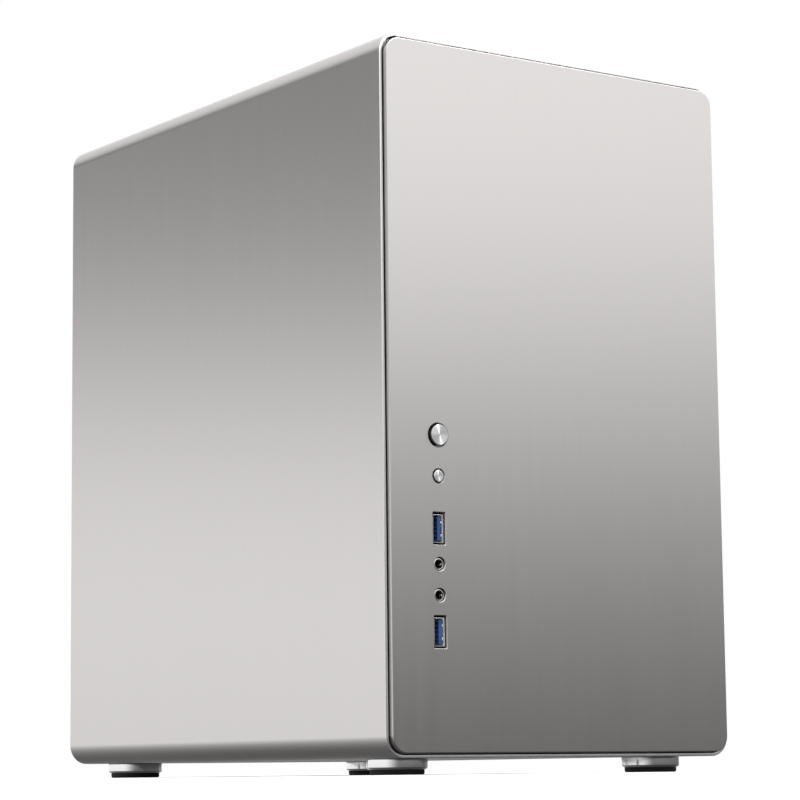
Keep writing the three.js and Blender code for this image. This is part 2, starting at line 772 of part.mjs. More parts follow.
// Four covers that close the expansion slots; each is bent over the ledge outside.
slotHeights.forEach((z, i) => {
  const half = SLOT_COVER / 2;
  const back = rearFrameFront - GAP;
  const top = ledge + GAP + SLOT_SHEET;
  const plate = box(trayRight + 2, top, back - SLOT_SHEET, back, z - half, z + half);
  const tab = box(
    ledge + GAP,
    top,
    back - SLOT_SHEET,
    rearFrameBack + SLOT_TAB,
    z - half,
    z + half,
  );
  add(`slot_cover_${i + 1}`, millAluminium(), join(plate, tab));
});

// ---- Motherboard tray with pressed-in standoffs ----

// Screw places of the board, from its rear edge and its low edge.
const boardScrews = [10.16, 137.5, 233].flatMap((y) => [10.16, 165.1, 233].map((z) => [y, z]));

function makeTray() {
  const window = 70; // behind the processor
  const sheet = withHoles(rect(trayFront, trayRear, boardLow + 6, HEIGHT - CORNER, THREE.Shape), [
    roundRect(cpuY - window / 2, cpuY + window / 2, cpuZ - window / 2, cpuZ + window / 2, 4, THREE.Path),
    roundRect(trayFront + 6, boardFront - 2, boardHigh - 60, boardHigh - 10, 4, THREE.Path),
  ]);
  const posts = boardScrews
    .filter(([, z]) => z > 12)
    .map(([y, z]) =>
      towardsRight(rod(5.5, 0, STANDOFF - GAP + 0.5, 6)).translate(
        trayRight - 0.5,
        boardRear - y - (y > 12 ? 0 : 3),
        boardLow + z,
      ),
    );
  return join(along(sheet, trayLeft, trayRight, 2), ...posts);
}

add("motherboard_tray", millAluminium(), makeTray());

// ---- Motherboard with its soldered sockets, from its rear low corner ----

// Places on the board: y towards the front from its rear edge, z up from its low edge.
const onBoard = (y0, y1, z0, z1, tall) =>
  box(boardFace - 0.2, boardFace + tall, boardRear - y1, boardRear - y0, boardLow + z0, boardLow + z1);

const MEMORY_SOCKETS = [150, 160];
const MEMORY = { thick: 1.3, long: 133.35, tall: 31, edge: 4 };
const memoryLow = 12;
const socketTall = 8;

function makeMotherboard() {
  const board = withHoles(rect(boardFront, boardRear, boardLow, boardHigh, THREE.Shape), [
    ...boardScrews.map(([y, z]) => circle(boardRear - y - (y > 12 ? 0 : 3), boardLow + z, 4)),
  ]);
  const sockets = MEMORY_SOCKETS.map((y) => {
    const groove = onBoard(
      y - MEMORY.thick / 2 - GAP,
      y + MEMORY.thick / 2 + GAP,
      memoryLow - GAP,
      memoryLow + MEMORY.long + GAP,
      socketTall + 1,
    ).translate(socketTall - MEMORY.edge, 0, 0);
    return cut(onBoard(y - 3.2, y + 3.2, memoryLow - 4, memoryLow + MEMORY.long + 4, socketTall), groove);
  });
  const slotsLong = [89, 39]; // a long and a short expansion slot
  const slots = slotsLong.map((long, i) => {
    const z = SLOT_FIRST + i * SLOT_PITCH;
    return onBoard(46, 46 + long, z - 3.8, z + 3.8, 11);
  });
  return join(
    along(board, boardBack, boardFace, 3),
    ...sockets,
    ...slots,
    onBoard(228, 238, 100, 152, 12), // main power header
    onBoard(22, 40, 4, 14, 12), // processor power header
    onBoard(222, 240, 190, 206, 9), // drive sockets
    onBoard(232, 241, 172, 184, 9), // header of the front sockets
  );
}

add("motherboard", boardGreen(), makeMotherboard());

MEMORY_SOCKETS.forEach((y, i) => {
  const low = boardFace + socketTall - MEMORY.edge + GAP;
  add(
    `memory_module_${i + 1}`,
    boardGreen(),
    box(
      low,
      low + MEMORY.tall,
      boardRear - y - MEMORY.thick / 2,
      boardRear - y + MEMORY.thick / 2,
      boardLow + memoryLow,
      boardLow + memoryLow + MEMORY.long,
    ),
  );
});

// Processor socket with its lidded processor.
const socketSide = 46;
const lidSide = 37;
const socketHigh = boardFace + GAP + 3.6;
const lidTop = socketHigh + 3.4;
add(
  "processor_socket",
  zincSteel(),
  join(
    box(
      boardFace + GAP,
      socketHigh,
      cpuY - socketSide / 2,
      cpuY + socketSide / 2,
      cpuZ - socketSide / 2,
      cpuZ + socketSide / 2,
    ),
    box(
      socketHigh - 0.5,
      lidTop,
      cpuY - lidSide / 2,
      cpuY + lidSide / 2,
      cpuZ - lidSide / 2,
      cpuZ + lidSide / 2,
    ),
  ),
);

// Heat sink of the chipset: a block with grooves.
function makeChipsetSink() {
  const side = 38;
  const y = boardRear - 190;
  const z = boardLow + 205;
  const low = boardFace + GAP;
  const grooves = [-12, -6, 0, 6, 12].map((g) =>
    box(low + 3, low + 20, y - side, y + side, z + g - 1.5, z + g + 1.5),
  );
  return cut(box(low, low + 9, y - side / 2, y + side / 2, z - side / 2, z + side / 2), ...grooves);
}

add("chipset_heatsink", blackPaint(), makeChipsetSink());

// ---- Rear sockets of the motherboard and the shield round them ----

// From the board's low edge: [from, wide, tall, openings as [from the board's face, tall, inset]].
const REAR_SOCKETS = [
  { at: 12, wide: 15, tall: 30, mouths: [[2, 6.5], [11.8, 6.5], [21.5, 6.5]] }, // line jacks
  { at: 32, wide: 15, tall: 16, mouths: [[1.6, 5.2], [9.2, 5.2]] }, // USB pair
  { at: 52, wide: 17, tall: 14, mouths: [[3, 8]] }, // network
  { at: 74, wide: 15, tall: 16, mouths: [[1.6, 5.2], [9.2, 5.2]] }, // USB pair
  { at: 96, wide: 16, tall: 6.5, mouths: [[1, 4.5]] }, // display
  { at: 118, wide: 17, tall: 7, mouths: [[1, 4.5]] }, // display
];
const socketsDeep = 18;
const socketsProud = 0.8;

function makeRearSockets() {
  const front = rearFrameBack - socketsDeep;
  const rear = rearFrameBack + socketsProud;
  const low = boardFace + GAP;
  const last = REAR_SOCKETS[REAR_SOCKETS.length - 1];
  const baseStrip = box(
    low,
    low + 1,
    front,
    boardRear,
    boardLow + REAR_SOCKETS[0].at,
    boardLow + last.at + last.wide,
  );
  const wall = 1;
  const bodies = REAR_SOCKETS.map(({ at, wide, tall, mouths }) =>
    cut(
      box(low, low + tall, front, rear, boardLow + at, boardLow + at + wide),
      ...mouths.map(([from, high]) =>
        box(
          low + from,
          low + from + high,
          rear - 11,
          rear + 1,
          boardLow + at + wall,
          boardLow + at + wide - wall,
        ),
      ),
    ),
  );
  return join(baseStrip, ...bodies);
}

add("rear_sockets", zincSteel(), makeRearSockets());

function makeShield() {
  const fit = GAP;
  const outline = rect(
    apertureLeft + fit,
    apertureLeft + IO_TALL - fit,
    apertureLow + fit,
    apertureLow + IO_LONG - fit,
    THREE.Shape,
  );
  const holes = () =>
    REAR_SOCKETS.map(({ at, wide, tall }) =>
      rect(
        boardFace - 0.5,
        boardFace + GAP + tall + fit,
        boardLow + at - fit,
        boardLow + at + wide + fit,
      ),
    );
  const rim = rect(
    apertureLeft - 1.5,
    apertureLeft + IO_TALL + 1.5,
    apertureLow - 1.5,
    apertureLow + IO_LONG + 1.5,
    THREE.Shape,
  );
  return join(
    across(withHoles(outline, holes()), rearFrameFront - 0.5, rearFrameBack - GAP),
    across(withHoles(rim, holes()), rearFrameFront - GAP - 0.8, rearFrameFront - GAP),
  );
}

add("socket_shield", zincSteel(), makeShield());

// ---- Fans: a frame with a motor plate on four arms, and a rotor ----

function makeFanFrame() {
  const half = FAN / 2;
  const plate = withHoles(
    roundRect(-half, half, -half, half, 6),
    fanScrewPlaces.map(([u, v]) => circle(u, v, 4.4)),
  );
  const bored = cut(level(plate, 0, FAN_DEEP, 3), rod(FAN_BORE, -1, FAN_DEEP + 1, 32));
  const arms = [0, QUARTER].map((angle) =>
    box(-FAN_BORE / 2 - 1, FAN_BORE / 2 + 1, -2, 2, 0, 2.5).rotateZ(angle + QUARTER / 2),
  );
  return join(bored, rod(FAN_HUB + 2, 0, 2.5, 16), ...arms);
}

// A blade reaches out from the hub; its pitch falls towards the tip.
function makeBlade(tip) {
  const root = FAN_HUB / 2 - 1.5;
  const chord = 27;
  const blade = new THREE.BoxGeometry(tip - root, chord, 1.6, 3, 1, 1).translate((tip + root) / 2, 0, 0);
  const position = blade.getAttribute("position");
  const point = new THREE.Vector3();
  const outward = new THREE.Vector3(1, 0, 0);
  for (let i = 0; i < position.count; i += 1) {
    point.fromBufferAttribute(position, i);
    const share = (point.x - root) / (tip - root);
    point.applyAxisAngle(outward, 0.72 - 0.3 * share);
    point.y += 10 * share * share;
    const swing = point.y / Math.max(point.x, root);
    const reach = point.x;
    position.setXYZ(i, reach * Math.cos(swing), reach * Math.sin(swing), point.z);
  }
  return blade;
}

function makeRotor() {
  const low = 2.5 + 1;
  const high = FAN_DEEP - 1;
  const tip = FAN_BORE / 2 - 1.8;
  const hub = turned(
    [[0, low], [FAN_HUB / 2, low], [FAN_HUB / 2, high - 1], [FAN_HUB / 2 - 1, high], [0, high]],
    14,
  );
  const middle = (low + high) / 2;
  const blades = Array.from({ length: FAN_BLADES }, (_, i) =>
    makeBlade(tip)
      .rotateZ((i * 2 * HALF_TURN) / FAN_BLADES)
      .translate(0, 0, middle),
  );
  return join(hub, ...blades);
}

// A stamped finger guard: rings of arc-shaped openings round a plain middle.
function makeGuard(thickness) {
  const rings = [19, 32, 45, 58];
  const bar = 2;
  const spoke = 1.4; // half its width
  const half = FAN / 2 - 1;
  const outline = roundRect(-half, half, -half, half, 8);
  for (let ring = 0; ring < rings.length - 1; ring += 1) {
    const r0 = rings[ring];
    const r1 = rings[ring + 1] - bar;
    for (let sector = 0; sector < 4; sector += 1) {
      const from = sector * QUARTER + QUARTER / 2;
      const opening = new THREE.Path();
      const in0 = Math.asin(spoke / r0);
      const in1 = Math.asin(spoke / r1);
      opening.absarc(0, 0, r1, from + in1, from + QUARTER - in1, false);
      opening.absarc(0, 0, r0, from + QUARTER - in0, from + in0, true);
      opening.closePath();
      outline.holes.push(opening);
    }
  }
  outline.holes.push(...fanScrewPlaces.map(([u, v]) => circle(u, v, 4.4)));
  return level(outline, 0, thickness, 2);
}

const rearFan = station(fanX, rearFrameFront - GAP, cpuZ, 1);
add("rear_fan_frame", blackPlastic(), makeFanFrame(), rearFan);
add("rear_fan_rotor", blackPlastic(), makeRotor(), rearFan);
add("rear_fan_guard", blackPaint(), makeGuard(1.2), station(fanX, rearFrameBack + GAP + 1.2, cpuZ, 1));

// ---- Processor cooler: base, heat pipes, fin block and its fan ----

const coolerBase = lidTop + GAP;
const coolerTop = lidTop + COOLER_TALL;
const finLow = coolerTop - FAN + 4;
const coolerFanX = (finLow + coolerTop) / 2;

function makeCooler() {
  const [deep, tall] = FIN_BLOCK;
  const pitch = (coolerTop - finLow - FIN) / (FINS - 1);
  const gaps = [];
  const wall = 0.9;
  for (let i = 0; i < FINS - 1; i += 1) {
    const x = finLow + FIN + i * pitch;
    for (const side of [-1, 1]) {
      const z0 = cpuZ + (side < 0 ? wall - tall / 2 : wall);
      const z1 = cpuZ + (side < 0 ? -wall : tall / 2 - wall);
      gaps.push(box(x, x + pitch - FIN, cpuY - deep, cpuY + deep, z0, z1));
    }
  }
  const half = [deep / 2, tall / 2];
  const block = cut(
    box(finLow, coolerTop, cpuY - half[0], cpuY + half[0], cpuZ - half[1], cpuZ + half[1]),
    ...gaps,
  );
  const pipes = [-15, -5, 5, 15].map((y) =>
    towardsRight(rod(6, coolerBase + 4, finLow + FIN / 2, 8)).translate(0, cpuY + y, cpuZ),
  );
  return join(
    block,
    box(coolerBase, coolerBase + 10, cpuY - 20, cpuY + 20, cpuZ - 20, cpuZ + 20),
    ...pipes,
  );
}

add("cooler_heatsink", millAluminium(), makeCooler());
const coolerFan = station(coolerFanX, cpuY - FIN_BLOCK[0] / 2 - GAP, cpuZ, 1);
add("cooler_fan_frame", blackPlastic(), makeFanFrame(), coolerFan);
add("cooler_fan_rotor", blackPlastic(), makeRotor(), coolerFan);

// ---- Power supply: a steel box with its fan at the bottom and the socket at the rear ----

const inletX = psuLeft + 32;
const rockerX = psuLeft + 60;
const psuSocketZ = psuZ + 12;

function makePsuHousing() {
  const s = PSU_SHEET;
  const outer = box(psuLeft, psuRight, psuFront, psuRear, psuLow, psuTop);
  const inner = box(psuLeft + s, psuRight - s, psuFront + s, psuRear - s, psuLow + s, psuTop - s);
  const fanHole = rod(FAN_BORE, psuLow - 1, psuLow + s + 1, 36).translate(psuX, psuFanY, 0);
  const [inletWide, inletTall] = INLET_BODY;
  const inlet = box(
    inletX - inletWide / 2 - GAP,
    inletX + inletWide / 2 + GAP,
    psuRear - 3,
    psuRear + 1,
    psuSocketZ - inletTall / 2 - GAP,
    psuSocketZ + inletTall / 2 + GAP,
  );
  const switchHole = box(
    rockerX - ROCKER[0] / 2 - 1 - GAP,
    rockerX + ROCKER[0] / 2 + 1 + GAP,
    psuRear - 3,
    psuRear + 1,
    psuSocketZ - ROCKER[1] / 2 - 1 - GAP,
    psuSocketZ + ROCKER[1] / 2 + 1 + GAP,
  );
  const vents = [];
  for (let column = 0; column < 8; column += 1) {
    const x = psuLeft + 78 + column * 7;
    vents.push(box(x, x + 4, psuRear - 3, psuRear + 1, psuLow + 15, psuTop - 15));
  }
  const cableHole = towardsRear(rod(14, -2, 3, 16)).translate(psuLeft + 26, psuFront, psuLow + 26);
  return cut(outer, inner, fanHole, inlet, switchHole, cableHole, ...vents);
}

add("psu_housing", blackPaint(), makePsuHousing());
add("psu_fan_guard", zincSteel(), makeGuard(1).translate(psuX, psuFanY, psuLow - FACE_GAP - 1));

const psuFan = station(psuX, psuFanY, psuLow + PSU_SHEET + FACE_GAP + FAN_DEEP, 2);
add("psu_fan_frame", blackPlastic(), makeFanFrame(), psuFan);
add("psu_fan_rotor", blackPlastic(), makeRotor(), psuFan);

// Mains inlet with three pins: a flange outside the housing and a cup inside it.
function makeInlet() {
  const [wide, tall] = INLET_BODY;
  const [flangeWide, flangeTall] = INLET_FLANGE;
  const mouth = [24, 16.4];
  const deep = 19;
  const bodyBack = psuRear + GAP;
  const pins = [[-7, -1.5], [0, 2.5], [7, -1.5]].map(([x, z]) =>
    box(x - 1, x + 1, bodyBack - deep - 1, bodyBack - 5, z - 2, z + 2),
  );
  const cup = cut(
    join(
      box(-wide / 2, wide / 2, bodyBack - deep - 3, bodyBack + 1, -tall / 2, tall / 2),
      box(-flangeWide / 2, flangeWide / 2, bodyBack, bodyBack + 2, -flangeTall / 2, flangeTall / 2),
    ),
    box(-mouth[0] / 2, mouth[0] / 2, bodyBack - deep, bodyBack + 3, -mouth[1] / 2, mouth[1] / 2),
  );
  return join(cup, ...pins);
}

add("mains_inlet", blackPlastic(), makeInlet(), station(inletX, 0, psuSocketZ));

// Mains switch: a bezel that stands in the housing and a rocker on a cross pivot.
const rockerDeep = 7;
function makeSwitchBezel() {
  const [wide, tall] = ROCKER;
  const outer = roundRect(-wide / 2 - 1, wide / 2 + 1, -tall / 2 - 1, tall / 2 + 1, 0.5);
  const inner = rect(-wide / 2 - 0.2, wide / 2 + 0.2, -tall / 2 - 0.2, tall / 2 + 0.2);
  const back = roundRect(-wide / 2 - 1, wide / 2 + 1, -tall / 2 - 1, tall / 2 + 1, 0.5);
  const face = psuRear + 1.5;
  const floor = face - rockerDeep - 4;
  return join(
    across(withHoles(outer, [inner]), floor, face, 2),
    across(back, floor - 1, floor + 0.5, 2),
  );
}

// The rocker's two faces meet in a shallow valley; it rests tipped by half its swing.
function makeRocker() {
  const [wide, tall] = ROCKER;
  const half = tall / 2 - 0.9;
  const rise = Math.tan((ROCKER_TILT * HALF_TURN) / 180) * half;
  const shape = new THREE.Shape([
    new THREE.Vector2(0, 1.5),
    new THREE.Vector2(-half, 1.5 + rise),
    new THREE.Vector2(-half + 1.5, -2.5),
    new THREE.Vector2(0, -4),
    new THREE.Vector2(half - 1.5, -2.5),
    new THREE.Vector2(half, 1.5 + rise),
  ]);
  const geometry = extrude(shape, wide - 1, 2).translate(0, 0, -(wide - 1) / 2);
  const toTower = new THREE.Matrix4().makeBasis(
    new THREE.Vector3(0, 0, 1),
    new THREE.Vector3(0, 1, 0),
    new THREE.Vector3(-1, 0, 0),
  );
  return geometry.applyMatrix4(toTower);
}

const mainsSwitch = station(rockerX, 0, psuSocketZ);
add("mains_switch_bezel", blackPlastic(), makeSwitchBezel(), mainsSwitch);
const rocker = add("mains_switch_rocker", greyPlastic(), makeRocker(), mainsSwitch);
rocker.position.y = psuRear + 1.5 - 3;
rocker.rotation.x = (ROCKER_TILT * HALF_TURN) / 180;

// Ledge across the case that carries the front end of the power supply.
function makePsuBracket() {
  const top = psuLow - FACE_GAP;
  const ledgeDeep = 10;
  const x0 = trayRight + GAP;
  const pastBoard = boardFace + 2;
  const x1 = psuRight + 4;
  const overBoard = boardHigh + GAP;
  const front = psuFront - GAP - FRAME_SHEET;
  return join(
    box(pastBoard, x1, front, psuFront + ledgeDeep, top - FRAME_SHEET, top),
    box(
      pastBoard,
      x1,
      front,
      psuFront - GAP,
      Math.min(top - FRAME_SHEET, overBoard),
      Math.max(top, overBoard + 1),
    ),
    box(x0, x1, front, psuFront - GAP, overBoard, overBoard + 12),
    box(x0, x0 + FRAME_SHEET, front - 14, psuFront - GAP, overBoard, overBoard + 30),
  );
}

add("psu_bracket", millAluminium(), makePsuBracket());

// ---- Drives, on a bracket behind the front frame ----

const driveX = frameRight - 12 - HARD_DRIVE[0];
const driveFront = frontFrameBack + FRAME_FLANGE;
const driveLow = base + 24;
const ssdLow = driveLow + HARD_DRIVE[2] + 24;

function makeDriveBracket() {
  const [wide, , tall] = HARD_DRIVE;
  const x0 = driveX - GAP;
  const x1 = driveX + wide + GAP;
  const z1 = ssdLow + SOLID_STATE_DRIVE[2] - 10;
  const face = withHoles(
    rect(x0 - FRAME_SHEET, x1 + FRAME_SHEET, driveLow - 6, z1, THREE.Shape),
    [roundRect(driveX + 20, driveX + wide - 20, driveLow + 20, driveLow + tall - 20, 6, THREE.Path)],
  );
  const back = driveFront - GAP;
  const feet = [driveLow - 6, z1 - 12].map((z) =>
    box(x0 + 10, x1 - 10, frontFrameBack + GAP, back, z, z + FRAME_SHEET),
  );
  const cheeks = [x0 - FRAME_SHEET, x1].map((x) =>
    box(x, x + FRAME_SHEET, back - FRAME_SHEET, driveFront + 18, driveLow, driveLow + tall),
  );
  return join(across(face, back - FRAME_SHEET, back, 3), ...feet, ...cheeks);
}

add("drive_bracket", zincSteel(), makeDriveBracket());

function makeHardDrive() {
  const [wide, thick, tall] = HARD_DRIVE;
  const z1 = driveLow + tall;
  return join(
    box(driveX, driveX + wide, driveFront, driveFront + thick - 3, driveLow, z1),
    box(driveX + 2, driveX + wide - 2, driveFront + 10, driveFront + thick, driveLow + 3, z1 - 12),
  );
}

add("hard_drive", millAluminium(), makeHardDrive());
add(
  "solid_state_drive",
  blackPaint(),
  box(
    driveX + 8,
    driveX + 8 + SOLID_STATE_DRIVE[0],
    driveFront,
    driveFront + SOLID_STATE_DRIVE[1],
    ssdLow,
    ssdLow + SOLID_STATE_DRIVE[2],
  ),
);

// ---- Cables, each a tube along its route between two connectors ----

function makeCable(points, diameter, sides) {
  const curve = new THREE.CatmullRomCurve3(points.map(([x, y, z]) => new THREE.Vector3(x, y, z)));
  const section = new THREE.Shape();
  for (let i = 0; i < sides; i += 1) {
    const angle = (i * 2 * HALF_TURN) / sides;
    const [x, y] = [(diameter / 2) * Math.cos(angle), (diameter / 2) * Math.sin(angle)];
    if (i === 0) section.moveTo(x, y);
    else section.lineTo(x, y);
  }
  section.closePath();
  const steps = Math.round(curve.getLength() / (2.5 * diameter));
  return new THREE.ExtrudeGeometry(section, { steps, extrudePath: curve, bevelEnabled: false });
}

// From the power supply's front down to the header at the board's front edge.
const mainCable = [
  [-64, 153.5, 274.5],
  [-64, 140, 274.5],
  [-64, 114, 271],
  [-63.5, 88, 256],
  [-62.5, 68, 230],
  [-62, 59, 200],
  [-61.5, 58, 172],
  [-62.5, 58, 155],
  [-66, 58.2, 144.5],
  [-71.5, 58.3, 140.6],
  [-77.4, 58.3, 140],
];
// From the socket board to its header on the motherboard.
const frontCable = [
  [-74.3, 28, 118],
  [-74.2, 38, 120],
  [-73.8, 46, 130],
  [-73, 50, 148],
  [-72.5, 53, 166],
  [-74, 54.6, 176],
  [-77, 54.8, 181],
  [-80.7, 54.8, 182.4],
];
add("main_power_cable", blackPlastic(), makeCable(mainCable, 9, 10));
add("front_socket_cable", blackPlastic(), makeCable(frontCable, 4, 8));

// ---- The tower stands on its feet, with the origin under the middle of its box ----

const front = plateFront - POWER.proud;
const rear = Math.max(tabBack + FACE_GAP + THUMBSCREW_HEAD_LONG, rearFrameBack + SLOT_TAB);
tower.position.set(0, -(front + rear) / 2, FOOT_TALL);
const assembly = new THREE.Group();
assembly.name = "desktop_tower";
assembly.add(tower);

export default assembly;
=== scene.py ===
"""Desktop computer tower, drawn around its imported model. Metres, +Z up, the front faces -Y."""

import json
import math

import bmesh
import bpy
import numpy as np
from mathutils import Matrix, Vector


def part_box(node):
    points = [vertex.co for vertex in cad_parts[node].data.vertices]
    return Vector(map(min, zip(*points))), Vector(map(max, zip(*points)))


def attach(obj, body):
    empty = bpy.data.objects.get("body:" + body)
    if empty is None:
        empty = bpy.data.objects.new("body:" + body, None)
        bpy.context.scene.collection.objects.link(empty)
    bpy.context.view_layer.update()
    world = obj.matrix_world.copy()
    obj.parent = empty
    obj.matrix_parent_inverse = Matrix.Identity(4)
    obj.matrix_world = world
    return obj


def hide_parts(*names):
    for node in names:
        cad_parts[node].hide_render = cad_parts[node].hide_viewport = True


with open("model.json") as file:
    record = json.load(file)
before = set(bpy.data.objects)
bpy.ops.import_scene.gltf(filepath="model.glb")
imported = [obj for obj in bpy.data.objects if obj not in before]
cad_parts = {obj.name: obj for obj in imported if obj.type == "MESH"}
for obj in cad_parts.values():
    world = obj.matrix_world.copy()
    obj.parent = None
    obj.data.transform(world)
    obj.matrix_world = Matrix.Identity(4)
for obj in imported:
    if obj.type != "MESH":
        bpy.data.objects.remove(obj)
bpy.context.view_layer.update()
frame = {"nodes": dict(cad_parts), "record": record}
MM = 0.001

# ---- Camera: a long lens just above the floor, from the front left, looking slightly up ----
# It stands about 1.4 m from the tower. Its turns are in radians, and its focal length is a multiple
# of the picture's width.


def place_camera():
    """A camera from its place, its turns in radians and its focal length in picture widths."""
    place = (-0.8133, -1.1678, 0.0010)
    yaw, pitch, roll = 0.61612, 0.13588, -0.01115
    focal_widths = 3.4075
    forward = [math.sin(yaw) * math.cos(pitch), math.cos(yaw) * math.cos(pitch), math.sin(pitch)]
    forward = np.array(forward)
    level = np.array([math.cos(yaw), -math.sin(yaw), 0.0])
    upward = np.cross(level, forward)
    right = math.cos(roll) * level + math.sin(roll) * upward
    upward = math.cos(roll) * upward - math.sin(roll) * level
    camera = bpy.data.cameras.new("camera")
    camera.sensor_width = 36.0
    camera.lens = camera.sensor_width * focal_widths
    camera.clip_start, camera.clip_end = 0.05, 60.0
    camera.dof.use_dof = False
    holder = bpy.data.objects.new("camera", camera)
    bpy.context.scene.collection.objects.link(holder)
    turn = np.eye(4)
    turn[:3, 0], turn[:3, 1], turn[:3, 2], turn[:3, 3] = right, upward, -forward, place
    holder.matrix_world = Matrix(turn.tolist())
    bpy.context.scene.camera = holder


place_camera()

# ---- Studio: a pale floor and a soft surround ----
# The surround is one smooth gradient. It is dark low down in front of the tower on the right and
# light higher up; behind it on the left the low part is light. Soft lamps add the highlights.


def shade(hex_colour):
    """An sRGB hex colour as linear red, green, blue and alpha."""
    parts = [int(hex_colour[i : i + 2], 16) / 255 for i in (0, 2, 4)]
    return [p / 12.92 if p <= 0.04045 else ((p + 0.055) / 1.055) ** 2.4 for p in parts] + [1.0]


def add_node(tree, kind, settings=None, inputs=None, links=None):
    """One node with its settings, its socket values and its incoming links."""
    made = tree.nodes.new(kind)
    for name, value in (settings or {}).items():
        setattr(made, name, value)
    for socket, value in (inputs or {}).items():
        made.inputs[socket].default_value = value
    for socket, source in (links or {}).items():
        tree.links.new(source, made.inputs[socket])
    return made


def ramp_stops(node, stops):
    """Sets a colour ramp's stops, each a position and a linear grey level."""
    ramp = node.color_ramp
    while len(ramp.elements) > len(stops):
        ramp.elements.remove(ramp.elements[-1])
    while len(ramp.elements) < len(stops):
        ramp.elements.new(0.5)
    for element, (position, level) in zip(ramp.elements, stops):
        element.position = position
        element.color = (level, level * 0.99, level * 0.985, 1.0)


def make_surround():
    """Brightness from a direction: two height ramps, mixed by how far it points to the front right."""
    world = bpy.data.worlds.new("studio")
    bpy.context.scene.world = world
    world.use_nodes = True
    tree = world.node_tree
    tree.nodes.clear()
    place = add_node(tree, "ShaderNodeTexCoord")
    towards = add_node(
        tree,
        "ShaderNodeVectorMath",
        {"operation": "DOT_PRODUCT"},
        {1: (0.58, -0.81, 0.0)},
        {0: place.outputs["Generated"]},
    )
    side = add_node(
        tree,
        "ShaderNodeMapRange",
        {"interpolation_type": "SMOOTHSTEP"},
        {"From Min": -0.5, "From Max": 0.5},
        {"Value": towards.outputs["Value"]},
    )
    height = add_node(tree, "ShaderNodeSeparateXYZ", links={0: place.outputs["Generated"]})
    scaled = add_node(
        tree,
        "ShaderNodeMapRange",
        {},
        {"From Min": -1.0, "From Max": 0.6},
        {"Value": height.outputs["Z"]},
    )
    back = add_node(tree, "ShaderNodeValToRGB", links={"Fac": scaled.outputs["Result"]})
    low, span = -1.0, 1.6
    glow_behind = [
        (-1.0, 0.08), (-0.55, 0.15), (-0.25, 0.46), (-0.08, 0.86), (0.0, 1.07), (0.05, 1.16),
        (0.09, 1.19), (0.125, 1.01), (0.16, 0.66), (0.20, 0.38), (0.25, 0.27), (0.31, 0.26),
        (0.38, 0.5), (0.6, 1.0),
    ]
    ramp_stops(back, [((z - low) / span, level) for z, level in glow_behind])
    ahead = add_node(tree, "ShaderNodeValToRGB", links={"Fac": scaled.outputs["Result"]})
    glow_ahead = [
        (-1.0, 0.05), (-0.1, 0.07), (-0.02, 0.10), (0.0, 0.13), (0.05, 0.25), (0.10, 0.50),
        (0.15, 0.88), (0.19, 1.17), (0.24, 1.27), (0.6, 1.1),
    ]
    ramp_stops(ahead, [((z - low) / span, level) for z, level in glow_ahead])
    both = add_node(
        tree,
        "ShaderNodeMix",
        {"data_type": "RGBA"},
        {},
        {0: side.outputs["Result"], 6: back.outputs["Color"], 7: ahead.outputs["Color"]},
    )
    soft = add_node(tree, "ShaderNodeBackground", inputs={"Strength": 1.0}, links={0: both.outputs[2]})
    plain = add_node(tree, "ShaderNodeBackground", inputs={0: (1, 1, 1, 1), 1: 1.0})
    path = add_node(tree, "ShaderNodeLightPath")
    chosen = add_node(
        tree,
        "ShaderNodeMixShader",
        links={0: path.outputs["Is Camera Ray"], 1: soft.outputs[0], 2: plain.outputs[0]},
    )
    add_node(tree, "ShaderNodeOutputWorld", links={0: chosen.outputs[0]})


def make_lamp(name, place, target, size, power):
    """A soft square lamp that faces a point."""
    lamp = bpy.data.lights.new(name, "AREA")
    lamp.shape, lamp.size, lamp.energy = "SQUARE", size, power
    holder = bpy.data.objects.new(name, lamp)
    bpy.context.scene.collection.objects.link(holder)
    back = np.array(place, float) - np.array(target, float)
    back /= np.linalg.norm(back)
    across = np.cross([0, 0, 1.0], back)
    across /= np.linalg.norm(across)
    turn = np.eye(4)
    turn[:3, 0], turn[:3, 1], turn[:3, 2], turn[:3, 3] = across, np.cross(back, across), back, place
    holder.matrix_world = Matrix(turn.tolist())


def make_material(name, colour, **sockets):
    """A principled material and its tree; sockets are the shader's own values."""
    material = bpy.data.materials.new(name)
    material.use_nodes = True
    tree = material.node_tree
    shader = tree.nodes["Principled BSDF"]
    shader.inputs["Base Color"].default_value = shade(colour)
    for socket, value in sockets.items():
        shader.inputs[socket.replace("_", " ")].default_value = value
    return material, tree, shader


def make_floor():
    """A wide pale disc: radius times cosine and sine of the angle."""
    radius = 9.0
    angle = np.linspace(0, 2 * np.pi, 96, endpoint=False)
    points = np.stack([radius * np.cos(angle), radius * np.sin(angle), 0 * angle], 1)
    mesh = bpy.data.meshes.new("floor")
    mesh.from_pydata(points.tolist(), [], [list(range(len(points)))])
    floor = bpy.data.objects.new("floor", mesh)
    bpy.context.scene.collection.objects.link(floor)
    material, tree, shader = make_material("pale_studio_floor", "ffffff", Roughness=0.7)
    place = add_node(tree, "ShaderNodeTexCoord")
    grain = add_node(
        tree,
        "ShaderNodeTexNoise",
        inputs={"Scale": 60.0},
        links={0: place.outputs["Object"]},
    )
    bump = add_node(
        tree,
        "ShaderNodeBump",
        inputs={"Strength": 0.03, "Distance": 0.001},
        links={"Height": grain.outputs[0]},
    )
    tree.links.new(bump.outputs[0], shader.inputs["Normal"])
    mesh.materials.append(material)
    floor.visible_glossy = False


